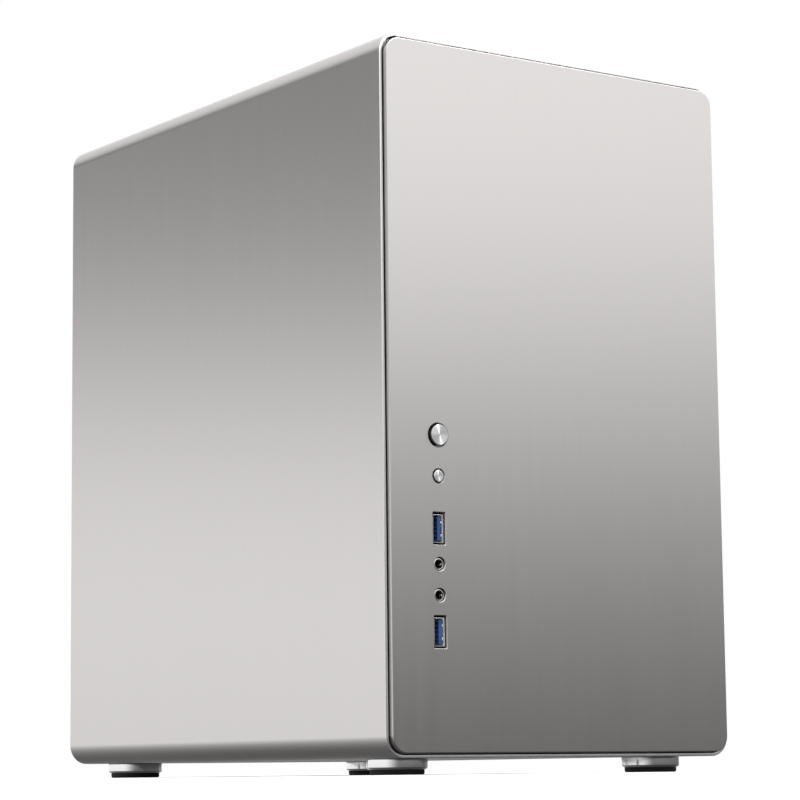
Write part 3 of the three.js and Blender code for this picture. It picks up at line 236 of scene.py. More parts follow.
bpy.context.scene.view_settings.view_transform = "Standard"
make_surround()
make_floor()
make_lamp("lamp_above", (0.2, -0.5, 2.6), (0, 0, 0.1), 1.8, 14)
make_lamp("lamp_ahead", (0.94, -1.5, 1.56), (-0.07, -0.15, 0.15), 0.5, 12)

# ---- Shell: one sheet of aluminium, brushed, anodised, and bent round five sides ----
# It is folded on a press brake from one blank 1.5 mm thick, with two lips round onto the right side.
# The brushing runs along the blank, so it goes up the sides and across the top.

_, rim_front, body_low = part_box("shell")[0]
half_width, rim_rear, body_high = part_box("shell")[1]
SHEET = 1.5 * MM
BEND = 10 * MM
SEAM_ABOVE = 17.3 * MM  # from the shell's top down to the upper seam
SEAM_BELOW = 19.6 * MM  # from its underside up to the lower seam
RIM_EASE = 0.25 * MM


def anodised_sheet(name, wrapped):
    """Clear anodised, brushed aluminium: long fine scratches that spread a reflection sideways.

    A wrapped sheet's scratches follow its grain map; a flat one's stand upright in its own frame.
    """
    material, tree, shader = make_material(
        name, "d6d4d2", Metallic=1.0, Roughness=0.31, Anisotropic=0.88
    )
    hair_across, hair_long = 0.45 * MM, 60 * MM
    if wrapped:
        grain = add_node(tree, "ShaderNodeUVMap", {"uv_map": "grain"})
        scale = (1 / hair_long, 1 / hair_across, 1.0)
        along = add_node(tree, "ShaderNodeTangent", {"direction_type": "UV_MAP", "uv_map": "grain"})
        shader.inputs["Anisotropic Rotation"].default_value = 0.25
        start = grain.outputs[0]
    else:
        grain = add_node(tree, "ShaderNodeTexCoord")
        scale = (1 / hair_across, 1 / hair_across, 1 / hair_long)
        along = add_node(tree, "ShaderNodeTangent", {"direction_type": "RADIAL", "axis": "Z"})
        start = grain.outputs["Object"]
    tree.links.new(along.outputs[0], shader.inputs["Tangent"])
    fine = add_node(tree, "ShaderNodeMapping", inputs={"Scale": scale}, links={0: start})
    hairs = add_node(
        tree,
        "ShaderNodeTexNoise",
        inputs={"Scale": 1.0, "Detail": 4.0, "Roughness": 0.7},
        links={0: fine.outputs[0]},
    )
    wide = [value / 14 if value > 1 / (2 * hair_across) else value / 3 for value in scale]
    broad = add_node(tree, "ShaderNodeMapping", inputs={"Scale": wide}, links={0: start})
    bands = add_node(
        tree, "ShaderNodeTexNoise", inputs={"Scale": 1.0, "Detail": 2.0}, links={0: broad.outputs[0]}
    )
    both = add_node(
        tree,
        "ShaderNodeMix",
        {"data_type": "FLOAT"},
        {0: 0.35},
        {2: hairs.outputs[0], 3: bands.outputs[0]},
    )
    rough = add_node(
        tree,
        "ShaderNodeMapRange",
        inputs={"From Min": 0.3, "From Max": 0.7, "To Min": 0.28, "To Max": 0.34},
        links={"Value": both.outputs[0]},
    )
    tree.links.new(rough.outputs[0], shader.inputs["Roughness"])
    tint = add_node(
        tree,
        "ShaderNodeMix",
        {"data_type": "RGBA"},
        {6: shade("cecccb"), 7: shade("dcdad9")},
        {0: both.outputs[0]},
    )
    tree.links.new(tint.outputs[2], shader.inputs["Base Color"])
    bump = add_node(
        tree,
        "ShaderNodeBump",
        inputs={"Strength": 0.06, "Distance": 0.00004},
        links={"Height": hairs.outputs[0]},
    )
    tree.links.new(bump.outputs[0], shader.inputs["Normal"])
    return material


def cut_edge():
    """The sheet's cut edge, diamond-cut after anodising: bright, with faint marks of the tool."""
    material, tree, shader = make_material("bright_cut_edge", "f4f4f4", Metallic=1.0, Roughness=0.25)
    place = add_node(tree, "ShaderNodeTexCoord")
    marks = add_node(
        tree,
        "ShaderNodeTexNoise",
        inputs={"Scale": 1 / (0.5 * MM), "Detail": 2.0},
        links={0: place.outputs["Object"]},
    )
    rough = add_node(
        tree,
        "ShaderNodeMapRange",
        inputs={"To Min": 0.2, "To Max": 0.3},
        links={"Value": marks.outputs[0]},
    )
    tree.links.new(rough.outputs[0], shader.inputs["Roughness"])
    return material


def finish_piece(name, points, faces, grain, material):
    """A mesh object from points, faces and each point's grain coordinates, smooth between edges."""
    mesh = bpy.data.meshes.new(name)
    mesh.from_pydata(np.asarray(points, float).tolist(), [], faces)
    layer = mesh.uv_layers.new(name="grain")
    corners = np.empty(len(mesh.loops), dtype=np.int64)
    mesh.loops.foreach_get("vertex_index", corners)
    layer.data.foreach_set("uv", np.asarray(grain, dtype=np.float32)[corners].ravel())
    mesh.materials.append(material)
    mesh.shade_smooth()
    mesh.set_sharp_from_angle(angle=math.radians(30))
    mesh.validate()
    piece = bpy.data.objects.new(name, mesh)
    bpy.context.scene.collection.objects.link(piece)
    return piece


def even_normals(piece):
    """Lets each large flat face keep its own direction beside the narrow round edges."""
    modifier = piece.modifiers.new("even", "WEIGHTED_NORMAL")
    modifier.keep_sharp = True


def arc(x, z, radius, start, end, steps=24):
    """Points round a centre: radius times cosine and sine, with their outward normals."""
    angle = np.radians(np.linspace(start, end, steps))
    normal = np.stack([np.cos(angle), np.sin(angle)], 1)
    return np.array([x, z]) + radius * normal, normal


def carry(path, normals, profile):
    """A sheet: each path point plus its normal times the profile's first value; Y is its second.

    Returns points and faces; the profile is a closed loop, and the path's two ends are filled.
    """
    count, around = len(path), len(profile)
    flat = path[:, None, :] + normals[:, None, :] * profile[None, :, :1]
    depth = np.broadcast_to(profile[None, :, 1], (count, around))
    points = np.stack([flat[..., 0], depth, flat[..., 1]], -1).reshape(-1, 3)
    i, j = np.meshgrid(np.arange(count - 1), np.arange(around), indexing="ij")
    k = (j + 1) % around
    quads = np.stack([i * around + j, i * around + k, (i + 1) * around + k, (i + 1) * around + j], -1)
    faces = quads.reshape(-1, 4).tolist()
    faces.append(list(range(around))[::-1])
    faces.append([(count - 1) * around + j for j in range(around)])
    return points, faces


def sheet_profile(half, front, rear, edge):
    """The section of a sheet along its depth: a long rectangle with its four edges eased by arcs."""
    turn = np.radians(np.linspace(0, 90, 4))
    parts = []
    for sx, sy, start in ((1, 1, 0), (-1, 1, 90), (-1, -1, 180), (1, -1, 270)):
        centre = np.array([sx * (half - edge), (rear - edge) if sy > 0 else (front + edge)])
        angle = np.radians(start) + turn
        parts.append(centre + edge * np.stack([np.cos(angle), np.sin(angle)], 1))
    return np.concatenate(parts)


def path_length(path):
    """Distance along the path up to each point."""
    return np.concatenate([[0], np.cumsum(np.linalg.norm(np.diff(path, axis=0), axis=1))])


def outwards(piece):
    """Turns the faces of a closed piece outwards."""
    work = bmesh.new()
    work.from_mesh(piece.data)
    bmesh.ops.recalc_face_normals(work, faces=work.faces)
    work.to_mesh(piece.data)
    work.free()


def cut_with(piece, cutter):
    """Cuts a closed piece with another one, which is then removed."""
    modifier = piece.modifiers.new("cut", "BOOLEAN")
    modifier.operation, modifier.solver, modifier.object = "DIFFERENCE", "EXACT", cutter
    graph = bpy.context.evaluated_depsgraph_get()
    cut = bpy.data.meshes.new_from_object(piece.evaluated_get(graph))
    cut.name = piece.name
    piece.modifiers.clear()
    old = piece.data
    piece.data = cut
    bpy.data.meshes.remove(old)
    bpy.data.objects.remove(cutter)


def stack(outline, normals, stations):
    """Closed outlines one above another: each point plus its normal times a station's offset.

    A station is an offset and a height. Returns points (flat x, flat y, height) and faces, with the
    first and the last outline filled.
    """
    stations = np.asarray(stations, float)
    around = len(outline)
    flat = outline[None] + normals[None] * stations[:, None, :1]
    height = np.broadcast_to(stations[:, None, 1:], flat.shape[:2] + (1,))
    points = np.concatenate([flat, height], -1).reshape(-1, 3)
    count = len(stations)
    i, j = np.meshgrid(np.arange(count - 1), np.arange(around), indexing="ij")
    k = (j + 1) % around
    quads = np.stack([i * around + j, i * around + k, (i + 1) * around + k, (i + 1) * around + j], -1)
    faces = quads.reshape(-1, 4).tolist()
    faces.append(list(range(around))[::-1])
    faces.append([(count - 1) * around + j for j in range(around)])
    return points, faces


def round_rect(x0, x1, z0, z1, radius, steps=12):
    """A rectangle's outline with an arc of 90 degrees at each corner, and its outward normals."""
    corners = ((x1, z0, -90), (x1, z1, 0), (x0, z1, 90), (x0, z0, 180))
    parts, normals = [], []
    for x, z, start in corners:
        cx = x - radius if x == x1 else x + radius
        cz = z - radius if z == z1 else z + radius
        p, n = arc(cx, cz, radius, start, start + 90, steps)
        parts.append(p)
        normals.append(n)
    return np.concatenate(parts), np.concatenate(normals)


def make_shell(material, rim_finish):
    """The sheet's middle line, from seam to seam round four bends, carried along Y and slotted."""
    x, inner = half_width - BEND, BEND - SHEET / 2
    low, high = body_low + BEND, body_high - BEND
    right = half_width - SHEET / 2
    start = np.array([[right, body_low + SEAM_BELOW]])
    end = np.array([[right, body_high - SEAM_ABOVE]])
    sideways = np.array([[1.0, 0.0]])
    pieces = [(start, sideways)]
    bends = ((x, low, 0, -90), (-x, low, -90, -180), (-x, high, 180, 90), (x, high, 90, 0))
    for cx, cz, first, last in bends:
        pieces.append(arc(cx, cz, inner, first, last))
    pieces.append((end, sideways))
    path = np.concatenate([p for p, _ in pieces])
    normals = np.concatenate([n for _, n in pieces])
    profile = sheet_profile(SHEET / 2, rim_front, rim_rear, RIM_EASE)
    points, faces = carry(path, normals, profile)
    grain = np.stack([np.repeat(path_length(path), len(profile)), points[:, 1]], 1)
    shell = finish_piece("tower_shell", points, faces, grain, material)
    outwards(shell)
    shell.data.materials.append(rim_finish)
    middles = np.empty(len(shell.data.polygons) * 3)
    shell.data.polygons.foreach_get("center", middles)
    at_rim = middles.reshape(-1, 3)[:, 1] < rim_front + 0.3 * MM
    shell.data.polygons.foreach_set("material_index", at_rim.astype(np.int32))
    slot_wide, slot_long, pitch, row_gap = 4.5 * MM, 60 * MM, 14 * MM, 14 * MM
    slots_across = 7
    middle = (rim_front + rim_rear) / 2
    below, above = body_low - 3 * MM, body_low + 4 * MM
    cutters, slots, offset = [], [], 0
    for row in (-0.5, 0.5):
        for i in range(slots_across):
            cx = (i - (slots_across - 1) // 2) * pitch
            cy = middle + row * (slot_long + row_gap)
            x0, x1 = cx - slot_wide / 2, cx + slot_wide / 2
            y0, y1 = cy - slot_long / 2, cy + slot_long / 2
            outline, normal = round_rect(x0, x1, y0, y1, slot_wide / 2 - 1e-5, 6)
            p, f = stack(outline, normal, [(0, below), (0, above)])
            cutters.append(p)
            slots += [[v + offset for v in face] for face in f]
            offset += len(p)
    cutter = finish_piece("cutter", np.concatenate(cutters), slots, np.zeros((offset, 2)), material)
    outwards(cutter)
    cut_with(shell, cutter)
    shell.data.set_sharp_from_angle(angle=math.radians(30))
    even_normals(shell)
    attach(shell, "chassis")
    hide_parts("shell")
    return shell


ANODISED = anodised_sheet("brushed_anodised_wrap", True)
CUT_RIM = cut_edge()
make_shell(ANODISED, CUT_RIM)

# ---- Front plate: 3 mm aluminium, machined with eased edges and the holes of the column ----
# It stands 2.6 mm in front of the shell's rim with a narrow dark groove round it.

COLUMN_X = -73.6 * MM
HEIGHTS = {
    "power": 148.6,
    "reset": 129.5,
    "usb_high": 105.1,
    "audio_high": 88.6,
    "audio_low": 74.3,
    "usb_low": 57.4,
}
HEIGHTS = {name: body_low + value * MM for name, value in HEIGHTS.items()}
plate_front = rim_front - 2.6 * MM
plate_back = plate_front + 3 * MM


def circle(x, z, steps=64):
    """A circle as a centre repeated, with unit normals, so that an offset is a radius."""
    angle = np.linspace(0, 2 * np.pi, steps, endpoint=False)
    normal = np.stack([np.cos(angle), np.sin(angle)], 1)
    return np.tile([x, z], (steps, 1)).astype(float), normal


def facing_front(points):
    """Turns stacked points so that their height runs along Y."""
    return points[:, [0, 2, 1]]


def make_front_plate(material):
    """A round rectangle stacked from eased front to eased back, cut by a flared cutter per hole."""
    groove = 0.6 * MM
    half = half_width - SHEET - groove
    sag = 0.5 * MM  # the plate hangs a little low in its opening
    low, high = body_low + SHEET + groove, body_high - SHEET - groove - sag
    outline, normal = round_rect(-half, half, low, high, BEND - SHEET - groove, 24)
    edge = 0.5 * MM
    turn = np.radians(np.linspace(0, 90, 5))
    front = [(edge * (np.sin(a) - 1), plate_front + edge * (1 - np.cos(a))) for a in turn]
    back = [(edge * (np.cos(a) - 1), plate_back - edge * (1 - np.sin(a))) for a in turn]
    points, faces = stack(outline, normal, front + back)
    points = facing_front(points)
    grain = np.stack([points[:, 2], points[:, 0]], 1)
    plate = finish_piece("front_plate", points, faces, grain, material)
    outwards(plate)
    flare = 0.28 * MM
    usb_wide, usb_tall, usb_corner = 3.55 * MM, 7.525 * MM, 0.5 * MM
    holes = [
        (circle(COLUMN_X, HEIGHTS["power"]), 5.6 * MM),
        (circle(COLUMN_X, HEIGHTS["reset"]), 3.35 * MM),
        (circle(COLUMN_X, HEIGHTS["audio_high"], 48), 3.15 * MM),
        (circle(COLUMN_X, HEIGHTS["audio_low"], 48), 3.15 * MM),
    ]
    for name in ("usb_high", "usb_low"):
        z0, z1 = HEIGHTS[name] - usb_tall, HEIGHTS[name] + usb_tall
        opening = round_rect(COLUMN_X - usb_wide, COLUMN_X + usb_wide, z0, z1, usb_corner, 5)
        holes.append((opening, 0.0))
    for (outline, normal), size in holes:
        stations = [
            (size + flare + MM, plate_front - MM),
            (size + flare, plate_front),
            (size, plate_front + flare),
            (size, plate_back + MM),
        ]
        p, f = stack(outline, normal, stations)
        no_grain = np.zeros((len(p), 2))
        cutter = finish_piece("cutter", facing_front(p), f, no_grain, material)
        outwards(cutter)
        cut_with(plate, cutter)
    layer = plate.data.uv_layers["grain"]
    corners = np.empty(len(plate.data.loops), dtype=np.int64)
    plate.data.loops.foreach_get("vertex_index", corners)
    places = np.empty(len(plate.data.vertices) * 3)
    plate.data.vertices.foreach_get("co", places)
    places = places.reshape(-1, 3)[corners]
    layer.data.foreach_set("uv", places[:, [2, 0]].astype(np.float32).ravel())
    plate.data.set_sharp_from_angle(angle=math.radians(30))
    even_normals(plate)
    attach(plate, "front_panel")
    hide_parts("front_panel")
    return plate


make_front_plate(ANODISED)

# ---- Buttons: turned aluminium caps, faced on a lathe, so fine rings run round the face ----
# The face is bright and its rim is eased; the wall behind it is coloured a darker grey, painted shade
# on the cap's side. A moulded flange keeps each cap behind the plate and its stem works a small
# switch.


def spun_aluminium():
    """Aluminium faced on a lathe: rings that throw two bright wedges across the face."""
    material, tree, shader = make_material(
        "spun_aluminium", "e8e8ea", Metallic=1.0, Roughness=0.36, Anisotropic=0.93
    )
    shader.inputs["Anisotropic Rotation"].default_value = 0.25
    grain = add_node(tree, "ShaderNodeUVMap", {"uv_map": "grain"})
    ring = 0.3 * MM
    rings = add_node(
        tree,
        "ShaderNodeMapping",
        inputs={"Scale": (4.0, 1 / ring, 1.0)},
        links={0: grain.outputs[0]},
    )
    lines = add_node(
        tree, "ShaderNodeTexNoise", inputs={"Scale": 1.0, "Detail": 3.0}, links={0: rings.outputs[0]}
    )
    rough = add_node(
        tree,
        "ShaderNodeMapRange",
        inputs={"To Min": 0.3, "To Max": 0.42},
        links={"Value": lines.outputs[0]},
    )
    tree.links.new(rough.outputs[0], shader.inputs["Roughness"])
    along = add_node(tree, "ShaderNodeTangent", {"direction_type": "UV_MAP", "uv_map": "grain"})
    tree.links.new(along.outputs[0], shader.inputs["Tangent"])
    return material


def moulded(name, colour, rough, grain, depth=0.00004, strength=0.25, **more):
    """A moulded or coated surface: a fine random texture of a given grain size, worn in patches."""
    material, tree, shader = make_material(name, colour, Roughness=rough, **more)
    place = add_node(tree, "ShaderNodeTexCoord")
    texture = add_node(
        tree,
        "ShaderNodeTexNoise",
        inputs={"Scale": 1 / grain, "Detail": 2.0},
        links={0: place.outputs["Object"]},
    )
    spread = add_node(
        tree,
        "ShaderNodeMapRange",
        inputs={"To Min": max(rough - 0.08, 0.02), "To Max": min(rough + 0.08, 1.0)},
        links={"Value": texture.outputs[0]},
    )
    tree.links.new(spread.outputs[0], shader.inputs["Roughness"])
    bump = add_node(
        tree,
        "ShaderNodeBump",
        inputs={"Strength": strength, "Distance": depth},
        links={"Height": texture.outputs[0]},
    )
    tree.links.new(bump.outputs[0], shader.inputs["Normal"])
    worn = add_node(
        tree,
        "ShaderNodeTexNoise",
        inputs={"Scale": 1 / (18 * MM), "Detail": 3.0},
        links={0: place.outputs["Object"]},
    )
    base = shade(colour)
    lighter = [min(c * 1.25 + 0.002, 1.0) for c in base[:3]] + [1.0]
    tint = add_node(
        tree,
        "ShaderNodeMix",
        {"data_type": "RGBA"},
        {6: base, 7: lighter},
        {0: worn.outputs[0]},
    )
    tree.links.new(tint.outputs[2], shader.inputs["Base Color"])
    return material


def turned_piece(
    name, x, z, stations, materials, body, nodes, steps=64, turn=facing_front, second=None
):
    """A turned piece: radius times cosine and sine of the angle, over its height stations.

    Its grain runs round it. Faces from station number `second` on take the second material.
    """
    angle = np.linspace(0, 2 * np.pi, steps + 1)
    normal = np.stack([np.cos(angle), np.sin(angle)], 1)
    stations = np.asarray(stations, float)
    count, around = len(stations), steps + 1
    flat = np.array([x, z]) + normal[None] * stations[:, None, :1]
    height = np.broadcast_to(stations[:, None, 1:], flat.shape[:2] + (1,))
    points = turn(np.concatenate([flat, height], -1).reshape(-1, 3))
    round_it = np.tile(angle * stations[:, 0].max(), count)
    grain = np.stack([round_it, np.repeat(path_length(stations), around)], 1)
    i, j = np.meshgrid(np.arange(count - 1), np.arange(steps), indexing="ij")
    a = i * around + j
    quads = np.stack([a, a + 1, a + around + 1, a + around], -1).reshape(-1, 4)
    piece = finish_piece(name, points, quads.tolist(), grain, materials[0])
    if len(materials) > 1:
        piece.data.materials.append(materials[1])
        index = np.repeat((np.arange(count - 1) >= second).astype(np.int32), steps)
        piece.data.polygons.foreach_set("material_index", index)
    work = bmesh.new()
    work.from_mesh(piece.data)
    bmesh.ops.remove_doubles(work, verts=work.verts, dist=1e-7)
    bmesh.ops.recalc_face_normals(work, faces=work.faces)
    work.to_mesh(piece.data)
    work.free()
    piece.data.set_sharp_from_angle(angle=math.radians(28))
    even_normals(piece)
    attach(piece, body)
    if nodes:
        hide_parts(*nodes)
    return piece


def button_stations(cap, proud, flange, rim):
    """From the middle of the face, over its eased rim, down the wall, round the flange to the stem."""
    face = plate_front - proud
    flange_front, flange_back = plate_back + 0.3 * MM, plate_back + 1.3 * MM
    stem, stem_end = 2 * MM, rim_front + 7.0 * MM
    return [
        (1e-6, face),
        (cap * 0.33, face),
        (cap * 0.66, face),
        (cap - rim, face),
        (cap - 0.3 * rim, face + 0.3 * rim),
        (cap, face + rim),
        (cap, flange_front),
        (flange, flange_front),
        (flange, flange_back),
        (stem, flange_back),
        (stem, stem_end),
        (1e-6, stem_end),
    ]


SPUN = spun_aluminium()
# The wall, flange and stem are coloured a darker grey than the face: painted shade for the cap's side
# wall.
BUTTON_WALL_PAINTED_SHADE = moulded("button_wall_painted_shade", "808086", 0.4, 0.5 * MM, Metallic=1.0)
WALL_FROM = 4  # the station where the face ends and the wall begins
for name, cap, proud, rim in (("power", 4.8, 1.3, 0.2), ("reset", 2.8, 0.1, 0.15)):
    turned_piece(
        name + "_cap",
        COLUMN_X,
        HEIGHTS[name],
        button_stations(cap * MM, proud * MM, (cap + 1.25) * MM, rim * MM),
        [SPUN, BUTTON_WALL_PAINTED_SHADE],
        name + "_button",
        [name + "_button"],
        second=WALL_FROM,
    )

# ---- Front sockets: two USB sockets with folded nickel shells, and two jacks with plated collars ----
# Each tongue is blue nylon, on the shell's right-hand side, with five contacts let into its left face,
# coloured black as painted shade for their slots; two leaf springs stand out of the shell's right
# wall. The jacks' bores have one leaf contact.

SOCKET_FRONT = plate_front + 0.9 * MM
BLUE_TONGUE = moulded("blue_nylon_tongue", "1d3f74", 0.38, 0.3 * MM)
BRIGHT_NICKEL = moulded("satin_tin_plate", "eeeeea", 0.28, 0.4 * MM, Metallic=0.7)
DULL_NICKEL = moulded("nickel_plated_brass", "cfcecb", 0.26, 0.4 * MM, Metallic=1.0)
# Black nylon for the socket backs, jacks and switches; on the tongues' contacts this black is painted
# shade for their slots.
BLACK_NYLON_AND_SLOT_SHADE = moulded("nylon_black_and_slot_shade", "0c0c0d", 0.5, 0.3 * MM)


def hoop(name, outline, normals, profile, material, body, nodes):
    """A tube: a closed profile of offsets and depths carried round a closed outline."""
    profile = np.asarray(profile, float)
    count, around = len(profile), len(outline)
    flat = outline[None] + normals[None] * profile[:, None, :1]
    depth = np.broadcast_to(profile[:, None, 1:], (count, around, 1))
    points = facing_front(np.concatenate([flat, depth], -1).reshape(-1, 3))
    i, j = np.meshgrid(np.arange(count), np.arange(around), indexing="ij")
    ni, nj = (i + 1) % count, (j + 1) % around
    quads = np.stack([i * around + j, i * around + nj, ni * around + nj, ni * around + j], -1)
    faces = quads.reshape(-1, 4).tolist()
    piece = finish_piece(name, points, faces, points[:, [0, 2]], material)
    outwards(piece)
    piece.data.set_sharp_from_angle(angle=math.radians(30))
    even_normals(piece)
    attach(piece, body)
    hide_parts(*nodes)
    return piece


def slab(name, low, high, edge, material, body, nodes=()):
    """A block with round upright edges and eased ends: round_rect in X and Z, carried along Y."""
    (x0, y0, z0), (x1, y1, z1) = low, high
    outline, normal = round_rect(x0, x1, z0, z1, edge, 4)
    ease = edge * 0.6
    stations = [(-ease, y0), (-0.3 * ease, y0 + 0.3 * ease), (0, y0 + ease)]
    stations += [(0, y1 - ease), (-0.3 * ease, y1 - 0.3 * ease), (-ease, y1)]
    points, faces = stack(outline, normal, stations)
    points = facing_front(points)
    piece = finish_piece(name, points, faces, points[:, [0, 2]], material)
    outwards(piece)
    piece.data.set_sharp_from_angle(angle=math.radians(40))
    even_normals(piece)
    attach(piece, body)
    if nodes:
        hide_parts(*nodes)
    return piece


for place in ("upper", "lower"):
    z = HEIGHTS["usb_high" if place == "upper" else "usb_low"]
    front, rear = SOCKET_FRONT, SOCKET_FRONT + 15 * MM
    wide, tall, corner = 2.86 * MM, 6.575 * MM, 0.6 * MM
    outline, normal = round_rect(COLUMN_X - wide, COLUMN_X + wide, z - tall, z + tall, corner, 6)
    wall = 0.35 * MM
    profile = [
        (0, rear),
        (-wall, rear),
        (-wall, front + 0.9 * MM),
        (-0.8 * wall, front + 0.55 * MM),
        (-0.4 * wall, front + 0.2 * MM),
        (-0.15 * wall, front + 0.02 * MM),
        (-0.03 * wall, front + 0.04 * MM),
        (0, front + 0.12 * MM),
    ]
    hoop(
        "usb_shell_folded_" + place, outline, normal, profile, BRIGHT_NICKEL, "chassis",
        ["usb_shell_" + place],
    )
    x0, x1 = COLUMN_X + 0.21 * MM, COLUMN_X + 2.11 * MM
    blade_tall = 5.45 * MM
    slab(
        "usb_tongue_blade_" + place,
        (x0, front + 0.9 * MM, z - blade_tall),
        (x1, rear, z + blade_tall),
        0.3 * MM,
        BLUE_TONGUE,
        "chassis",
        ["usb_tongue_" + place],
    )
    slab(
        "usb_back_block_" + place,
        (COLUMN_X - 2.3 * MM, front + 11.2 * MM, z - 6.0 * MM),
        (COLUMN_X + 2.3 * MM, front + 14.9 * MM, z + 6.0 * MM),
        0.2 * MM,
        BLACK_NYLON_AND_SLOT_SHADE,
        "chassis",
    )
    # The five contacts are coloured black: painted shade for the slots in the tongue's face.
    contact_pitch = 2.0 * MM
    for i in range(5):
        level = z + (i - 2) * contact_pitch
        slab(
            f"usb_contact_{place}_{i + 1}",
            (x0 - 0.12 * MM, front + 1.3 * MM, level - 0.45 * MM),
            (x0 + 0.2 * MM, front + 9 * MM, level + 0.45 * MM),
            0.08 * MM,
            BLACK_NYLON_AND_SLOT_SHADE,
            "chassis",
        )
    for k, level in enumerate((z + 3.0 * MM, z - 3.0 * MM)):
        slab(
            f"usb_spring_{place}_{k + 1}",
            (COLUMN_X + 2.0 * MM, front + 0.9 * MM, level - 0.55 * MM),
            (COLUMN_X + 2.5 * MM, front + 3.4 * MM, level + 0.55 * MM),
            0.2 * MM,
            BRIGHT_NICKEL,
            "chassis",
        )

for name in ("audio_high", "audio_low"):
    z = HEIGHTS[name]
    outer, bore = 2.88 * MM, 2.05 * MM
    stations = [
        (bore, SOCKET_FRONT + 2.5 * MM),
        (bore, SOCKET_FRONT + 0.3 * MM),
        (bore + 0.08 * MM, SOCKET_FRONT + 0.08 * MM),
        (bore + 0.3 * MM, SOCKET_FRONT - 0.06 * MM),
        (outer - 0.3 * MM, SOCKET_FRONT - 0.06 * MM),
        (outer - 0.08 * MM, SOCKET_FRONT + 0.02 * MM),
        (outer, SOCKET_FRONT + 0.25 * MM),
        (outer, SOCKET_FRONT + 2.5 * MM),
        (bore, SOCKET_FRONT + 2.5 * MM),
    ]
    turned_piece(
        "jack_collar_" + name, COLUMN_X, z, stations, [DULL_NICKEL], "chassis", (), 48
    )
    slab(
        "jack_contact_" + name,
        (COLUMN_X + 1.45 * MM, SOCKET_FRONT + 0.2 * MM, z - 0.55 * MM),
        (COLUMN_X + 2.1 * MM, SOCKET_FRONT + 2.0 * MM, z + 0.55 * MM),
        0.3 * MM,
        BRIGHT_NICKEL,
        "chassis",
    )

# ---- Feet: a polished turned ring with a rubber pad let into it ----
# The ring is screwed up into the underside; its lower edge is chamfered and polished bright. The pad
# is moulded rubber, a little narrower, and stands proud of the ring.


def polished_ring():
    """Polished aluminium with faint turning lines, whose highlights stand upright."""
    material, tree, shader = make_material(
        "polished_turned_aluminium", "e6e6e8", Metallic=1.0, Roughness=0.12
    )
    place = add_node(tree, "ShaderNodeTexCoord")
    fine = add_node(
        tree,
        "ShaderNodeMapping",
        inputs={"Scale": (30.0, 30.0, 1 / (0.4 * MM))},
        links={0: place.outputs["Object"]},
    )
    lines = add_node(tree, "ShaderNodeTexNoise", inputs={"Scale": 1.0}, links={0: fine.outputs[0]})
    rough = add_node(
        tree,
        "ShaderNodeMapRange",
        inputs={"To Min": 0.07, "To Max": 0.2},
        links={"Value": lines.outputs[0]},
    )
    tree.links.new(rough.outputs[0], shader.inputs["Roughness"])
    return material


def plain_turn(points):
    """Keeps stacked points as they are, with their height along Z."""
    return points


POLISHED = polished_ring()
RUBBER = moulded("black_moulded_rubber", "141414", 0.75, 0.6 * MM)

for corner in ("front_left", "front_right", "rear_left", "rear_right"):
    low, high = [np.array(c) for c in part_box("foot_pad_" + corner)]
    x, y = (low[0] + high[0]) / 2, (low[1] + high[1]) / 2
    top = body_low - 0.1 * MM
    bottom = body_low - 5 * MM
    ring, recess = 14.35 * MM, 13.1 * MM
    stud, stud_top = 2 * MM, body_low + 4 * MM
    stations = [
        (1e-6, stud_top),
        (stud, stud_top),
        (stud, top),
        (ring - 0.4 * MM, top),
        (ring - 0.1 * MM, top - 0.1 * MM),
        (ring, top - 0.4 * MM),
        (ring, bottom + 1.0 * MM),
        (ring - 0.25 * MM, bottom + 0.6 * MM),
        (ring - 0.9 * MM, bottom),
        (recess, bottom),
        (recess, bottom + 1.5 * MM),
        (1e-6, bottom + 1.5 * MM),
    ]
    turned_piece(
        "foot_ring_turned_" + corner, x, y, stations, [POLISHED], "chassis",
        ["foot_ring_" + corner], 96, plain_turn,
    )
    pad = 12.8 * MM
    stations = [
        (1e-6, bottom + 1.4 * MM),
        (pad, bottom + 1.4 * MM),
        (pad, 0.9 * MM),
        (pad - 0.15 * MM, 0.35 * MM),
        (pad - 0.6 * MM, 0.0),
        (pad - 3 * MM, 0.0),
        (1e-6, 0.0),
    ]
    turned_piece(
        "foot_pad_moulded_" + corner, x, y, stations, [RUBBER], "chassis",
        ["foot_pad_" + corner], 96, plain_turn,
    )

# ---- Frames, tray, rails and brackets: folded or pressed from plain aluminium and plated steel ----
# The front and rear pans are riveted inside the shell, the tray hangs between them, and the rails
# guide the side panel. Their cut edges are eased by deburring.


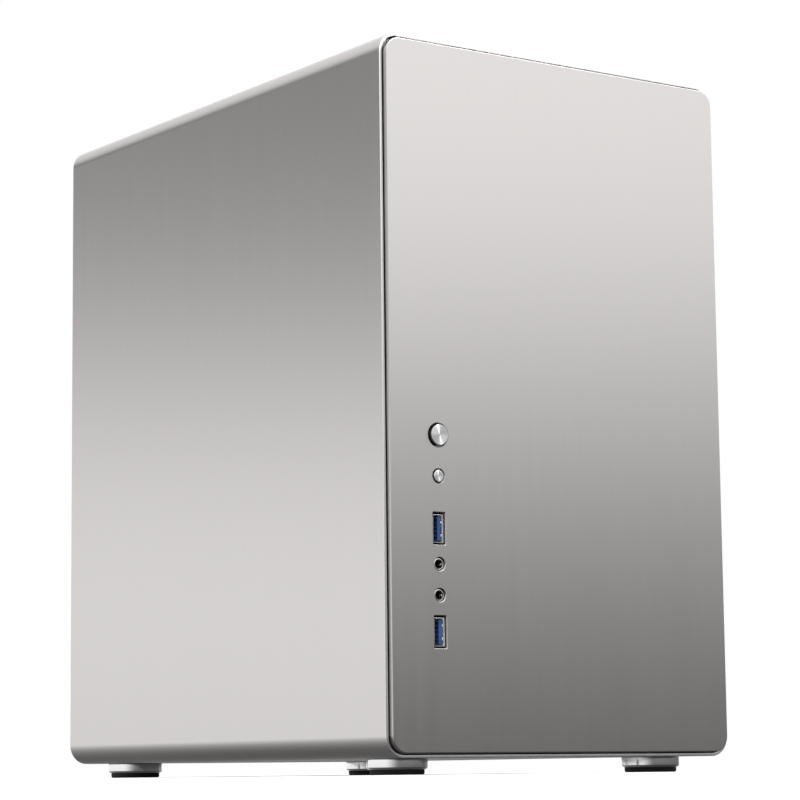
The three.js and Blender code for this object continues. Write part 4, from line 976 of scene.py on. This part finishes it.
def plated(name, colour, rough, grain):
    """Rolled or plated sheet metal: faint cloudy patches and fine rolling lines."""
    material, tree, shader = make_material(name, colour, Metallic=1.0, Roughness=rough)
    place = add_node(tree, "ShaderNodeTexCoord")
    clouds = add_node(
        tree,
        "ShaderNodeTexNoise",
        inputs={"Scale": 1 / grain, "Detail": 4.0},
        links={0: place.outputs["Object"]},
    )
    spread = add_node(
        tree,
        "ShaderNodeMapRange",
        inputs={"To Min": max(rough - 0.1, 0.05), "To Max": rough + 0.1},
        links={"Value": clouds.outputs[0]},
    )
    tree.links.new(spread.outputs[0], shader.inputs["Roughness"])
    stretch = add_node(
        tree,
        "ShaderNodeMapping",
        inputs={"Scale": (1 / (0.8 * MM), 1 / (0.8 * MM), 1 / (30 * MM))},
        links={0: place.outputs["Object"]},
    )
    lines = add_node(tree, "ShaderNodeTexNoise", inputs={"Scale": 1.0}, links={0: stretch.outputs[0]})
    bump = add_node(
        tree,
        "ShaderNodeBump",
        inputs={"Strength": 0.06, "Distance": 0.00005},
        links={"Height": lines.outputs[0]},
    )
    tree.links.new(bump.outputs[0], shader.inputs["Normal"])
    base = shade(colour)
    darker = [c * 0.82 for c in base[:3]] + [1.0]
    tint = add_node(
        tree,
        "ShaderNodeMix",
        {"data_type": "RGBA"},
        {6: darker, 7: base},
        {0: clouds.outputs[0]},
    )
    tree.links.new(tint.outputs[2], shader.inputs["Base Color"])
    return material


BODY_OF = {n: name for name, nodes in frame["record"]["behaviour"]["bodies"].items() for n in nodes}


def eased_copy(node, material, width):
    """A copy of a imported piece: its flat triangles joined into faces, its sharp edges bevelled."""
    source = frame["nodes"][node]
    work = bmesh.new()
    work.from_mesh(source.data)
    work.transform(source.matrix_world)
    bmesh.ops.remove_doubles(work, verts=work.verts, dist=2e-6)
    bmesh.ops.dissolve_limit(work, angle_limit=math.radians(0.5), verts=work.verts, edges=work.edges)
    bmesh.ops.recalc_face_normals(work, faces=work.faces)
    mesh = bpy.data.meshes.new(node + "_eased")
    work.to_mesh(mesh)
    work.free()
    mesh.materials.append(material)
    mesh.shade_smooth()
    mesh.set_sharp_from_angle(angle=math.radians(32))
    piece = bpy.data.objects.new(node + "_eased", mesh)
    bpy.context.scene.collection.objects.link(piece)
    bevel = piece.modifiers.new("deburred", "BEVEL")
    bevel.width, bevel.segments, bevel.limit_method = width, 2, "ANGLE"
    bevel.angle_limit, bevel.use_clamp_overlap = math.radians(32), True
    bevel.harden_normals = True
    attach(piece, BODY_OF.get(node, "chassis"))
    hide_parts(node)
    return piece


MILL = plated("mill_finish_aluminium", "c2c2c0", 0.4, 14 * MM)
ZINC = plated("zinc_plated_steel", "b9bbbc", 0.38, 6 * MM)
for node in (
    "front_frame",
    "rear_frame",
    "motherboard_tray",
    "panel_rail_upper",
    "panel_rail_lower",
    "psu_bracket",
):
    eased_copy(node, MILL, 0.2 * MM)
for node in ("socket_bracket", "drive_bracket", "socket_shield"):
    eased_copy(node, ZINC, 0.12 * MM)
for number in range(1, 5):
    eased_copy(f"slot_cover_{number}", MILL, 0.15 * MM)

# ---- Side panel and thumbscrews: the flat brushed sheet slides out to the rear ----
# The panel is the same brushed, anodised sheet as the shell, with its grain upright. Two turned
# thumbscrews hold its tabs to the rear frame.

FLAT_ANODISED = anodised_sheet("brushed_anodised_panel", False)
eased_copy("side_panel", FLAT_ANODISED, 0.25 * MM)
TURNED = plated("turned_anodised_aluminium", "cfcfce", 0.28, 3 * MM)
for node in ("thumbscrew_upper", "thumbscrew_lower"):
    eased_copy(node, TURNED, 0.25 * MM)

# ---- Front socket and switch bodies: small mouldings and the little board they stand on ----
# The shells of the USB sockets are folded from plated steel; the jacks and switches are black nylon.

NICKEL = plated("nickel_plated_steel", "c9c9c6", 0.26, 2 * MM)


def laminate(name, mask, track):
    """Solder-masked laminate: a dark gloss with fine copper tracks just showing under it."""
    material, tree, shader = make_material(name, mask, Roughness=0.35)
    place = add_node(tree, "ShaderNodeTexCoord")
    flat = add_node(
        tree,
        "ShaderNodeMapping",
        inputs={"Rotation": (0.0, math.pi / 2, 0.0)},
        links={0: place.outputs["Object"]},
    )
    tracks = add_node(
        tree,
        "ShaderNodeTexBrick",
        {"offset": 0.4},
        {
            "Scale": 1 / (4 * MM),
            "Mortar Size": 0.06,
            "Color1": shade(mask),
            "Color2": shade(mask),
            "Mortar": shade(track),
        },
        {0: flat.outputs[0]},
    )
    tree.links.new(tracks.outputs[0], shader.inputs["Base Color"])
    bump = add_node(
        tree,
        "ShaderNodeBump",
        inputs={"Strength": 0.2, "Distance": 0.00004},
        links={"Height": tracks.outputs[1]},
    )
    tree.links.new(bump.outputs[0], shader.inputs["Normal"])
    return material


LAMINATE = laminate("solder_masked_laminate", "16231c", "2f4236")
BLACK_PLASTIC = moulded("black_abs", "1b1b1c", 0.5, 0.5 * MM)
for node in ("headphone_jack", "microphone_jack", "power_switch", "reset_switch"):
    eased_copy(node, BLACK_NYLON_AND_SLOT_SHADE, 0.12 * MM)
eased_copy("socket_board", LAMINATE, 0.08 * MM)

# ---- Computer: main board with its sockets, memory, cooler and drives ----
# The board hangs on the tray by its standoffs. The cooler is a stack of pressed aluminium fins, and
# the drives stand on a plated bracket behind the front frame.

POWDER = moulded("black_powder_coat", "1f2021", 0.55, 0.8 * MM, 0.00008, 0.5)
for node in ("motherboard", "memory_module_1", "memory_module_2"):
    eased_copy(node, LAMINATE, 0.12 * MM)
for node in ("cooler_heatsink", "hard_drive"):
    eased_copy(node, MILL, 0.1 * MM)
eased_copy("processor_socket", ZINC, 0.15 * MM)
eased_copy("rear_sockets", NICKEL, 0.12 * MM)
for node in ("chipset_heatsink", "solid_state_drive"):
    eased_copy(node, POWDER, 0.25 * MM)


def memory_chips():
    """Eight moulded memory packages on one face of each module, a slab for each."""
    margin, chips = 6 * MM, 8
    for number in (1, 2):
        low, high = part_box(f"memory_module_{number}")
        x0, y0, z0 = low
        pitch = (high[2] - z0 - 2 * margin) / chips
        for i in range(chips):
            base = z0 + margin + i * pitch
            slab(
                f"memory_chip_{number}_{i + 1}",
                (x0 + 8 * MM, y0 - 0.9 * MM, base + 1.5 * MM),
                (x0 + 20 * MM, y0 + 0.2 * MM, base + pitch - 1.5 * MM),
                0.3 * MM,
                BLACK_PLASTIC,
                "chassis",
            )


memory_chips()

# ---- Fans: moulded frames and rotors, with stamped guards ----
# The rotors are seven-bladed mouldings on a hub. The guards are stamped from thin steel sheet, with
# rings of arc-shaped openings.

ROTOR_GREY = moulded("charcoal_nylon", "262729", 0.42, 0.6 * MM)
for place in ("rear", "cooler", "psu"):
    eased_copy(place + "_fan_frame", BLACK_PLASTIC, 0.3 * MM)
    eased_copy(place + "_fan_rotor", ROTOR_GREY, 0.2 * MM)
eased_copy("rear_fan_guard", POWDER, 0.15 * MM)
eased_copy("psu_fan_guard", ZINC, 0.12 * MM)

# ---- Power supply: a folded, powder-coated box with an inlet and a rocker switch ----
# The box is steel sheet, folded and powder-coated. The inlet, its bezel and the rocker are moulded,
# and click into cut-outs in its back.

GREY_PLASTIC = moulded("grey_abs", "454648", 0.45, 0.4 * MM)
eased_copy("psu_housing", POWDER, 0.4 * MM)
for node in ("mains_inlet", "mains_switch_bezel"):
    eased_copy(node, BLACK_PLASTIC, 0.25 * MM)
eased_copy("mains_switch_rocker", GREY_PLASTIC, 0.4 * MM)

# ---- Cables: round sheathed leads clipped along their routes ----
# One lead runs from the power supply to the main board and one from the board to the front sockets.
# Each is a bundle in a smooth black sheath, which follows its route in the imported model.

SHEATH = moulded("black_cable_sheath", "171717", 0.6, 0.4 * MM)
for node in ("main_power_cable", "front_socket_cable"):
    eased_copy(node, SHEATH, 0.05 * MM)
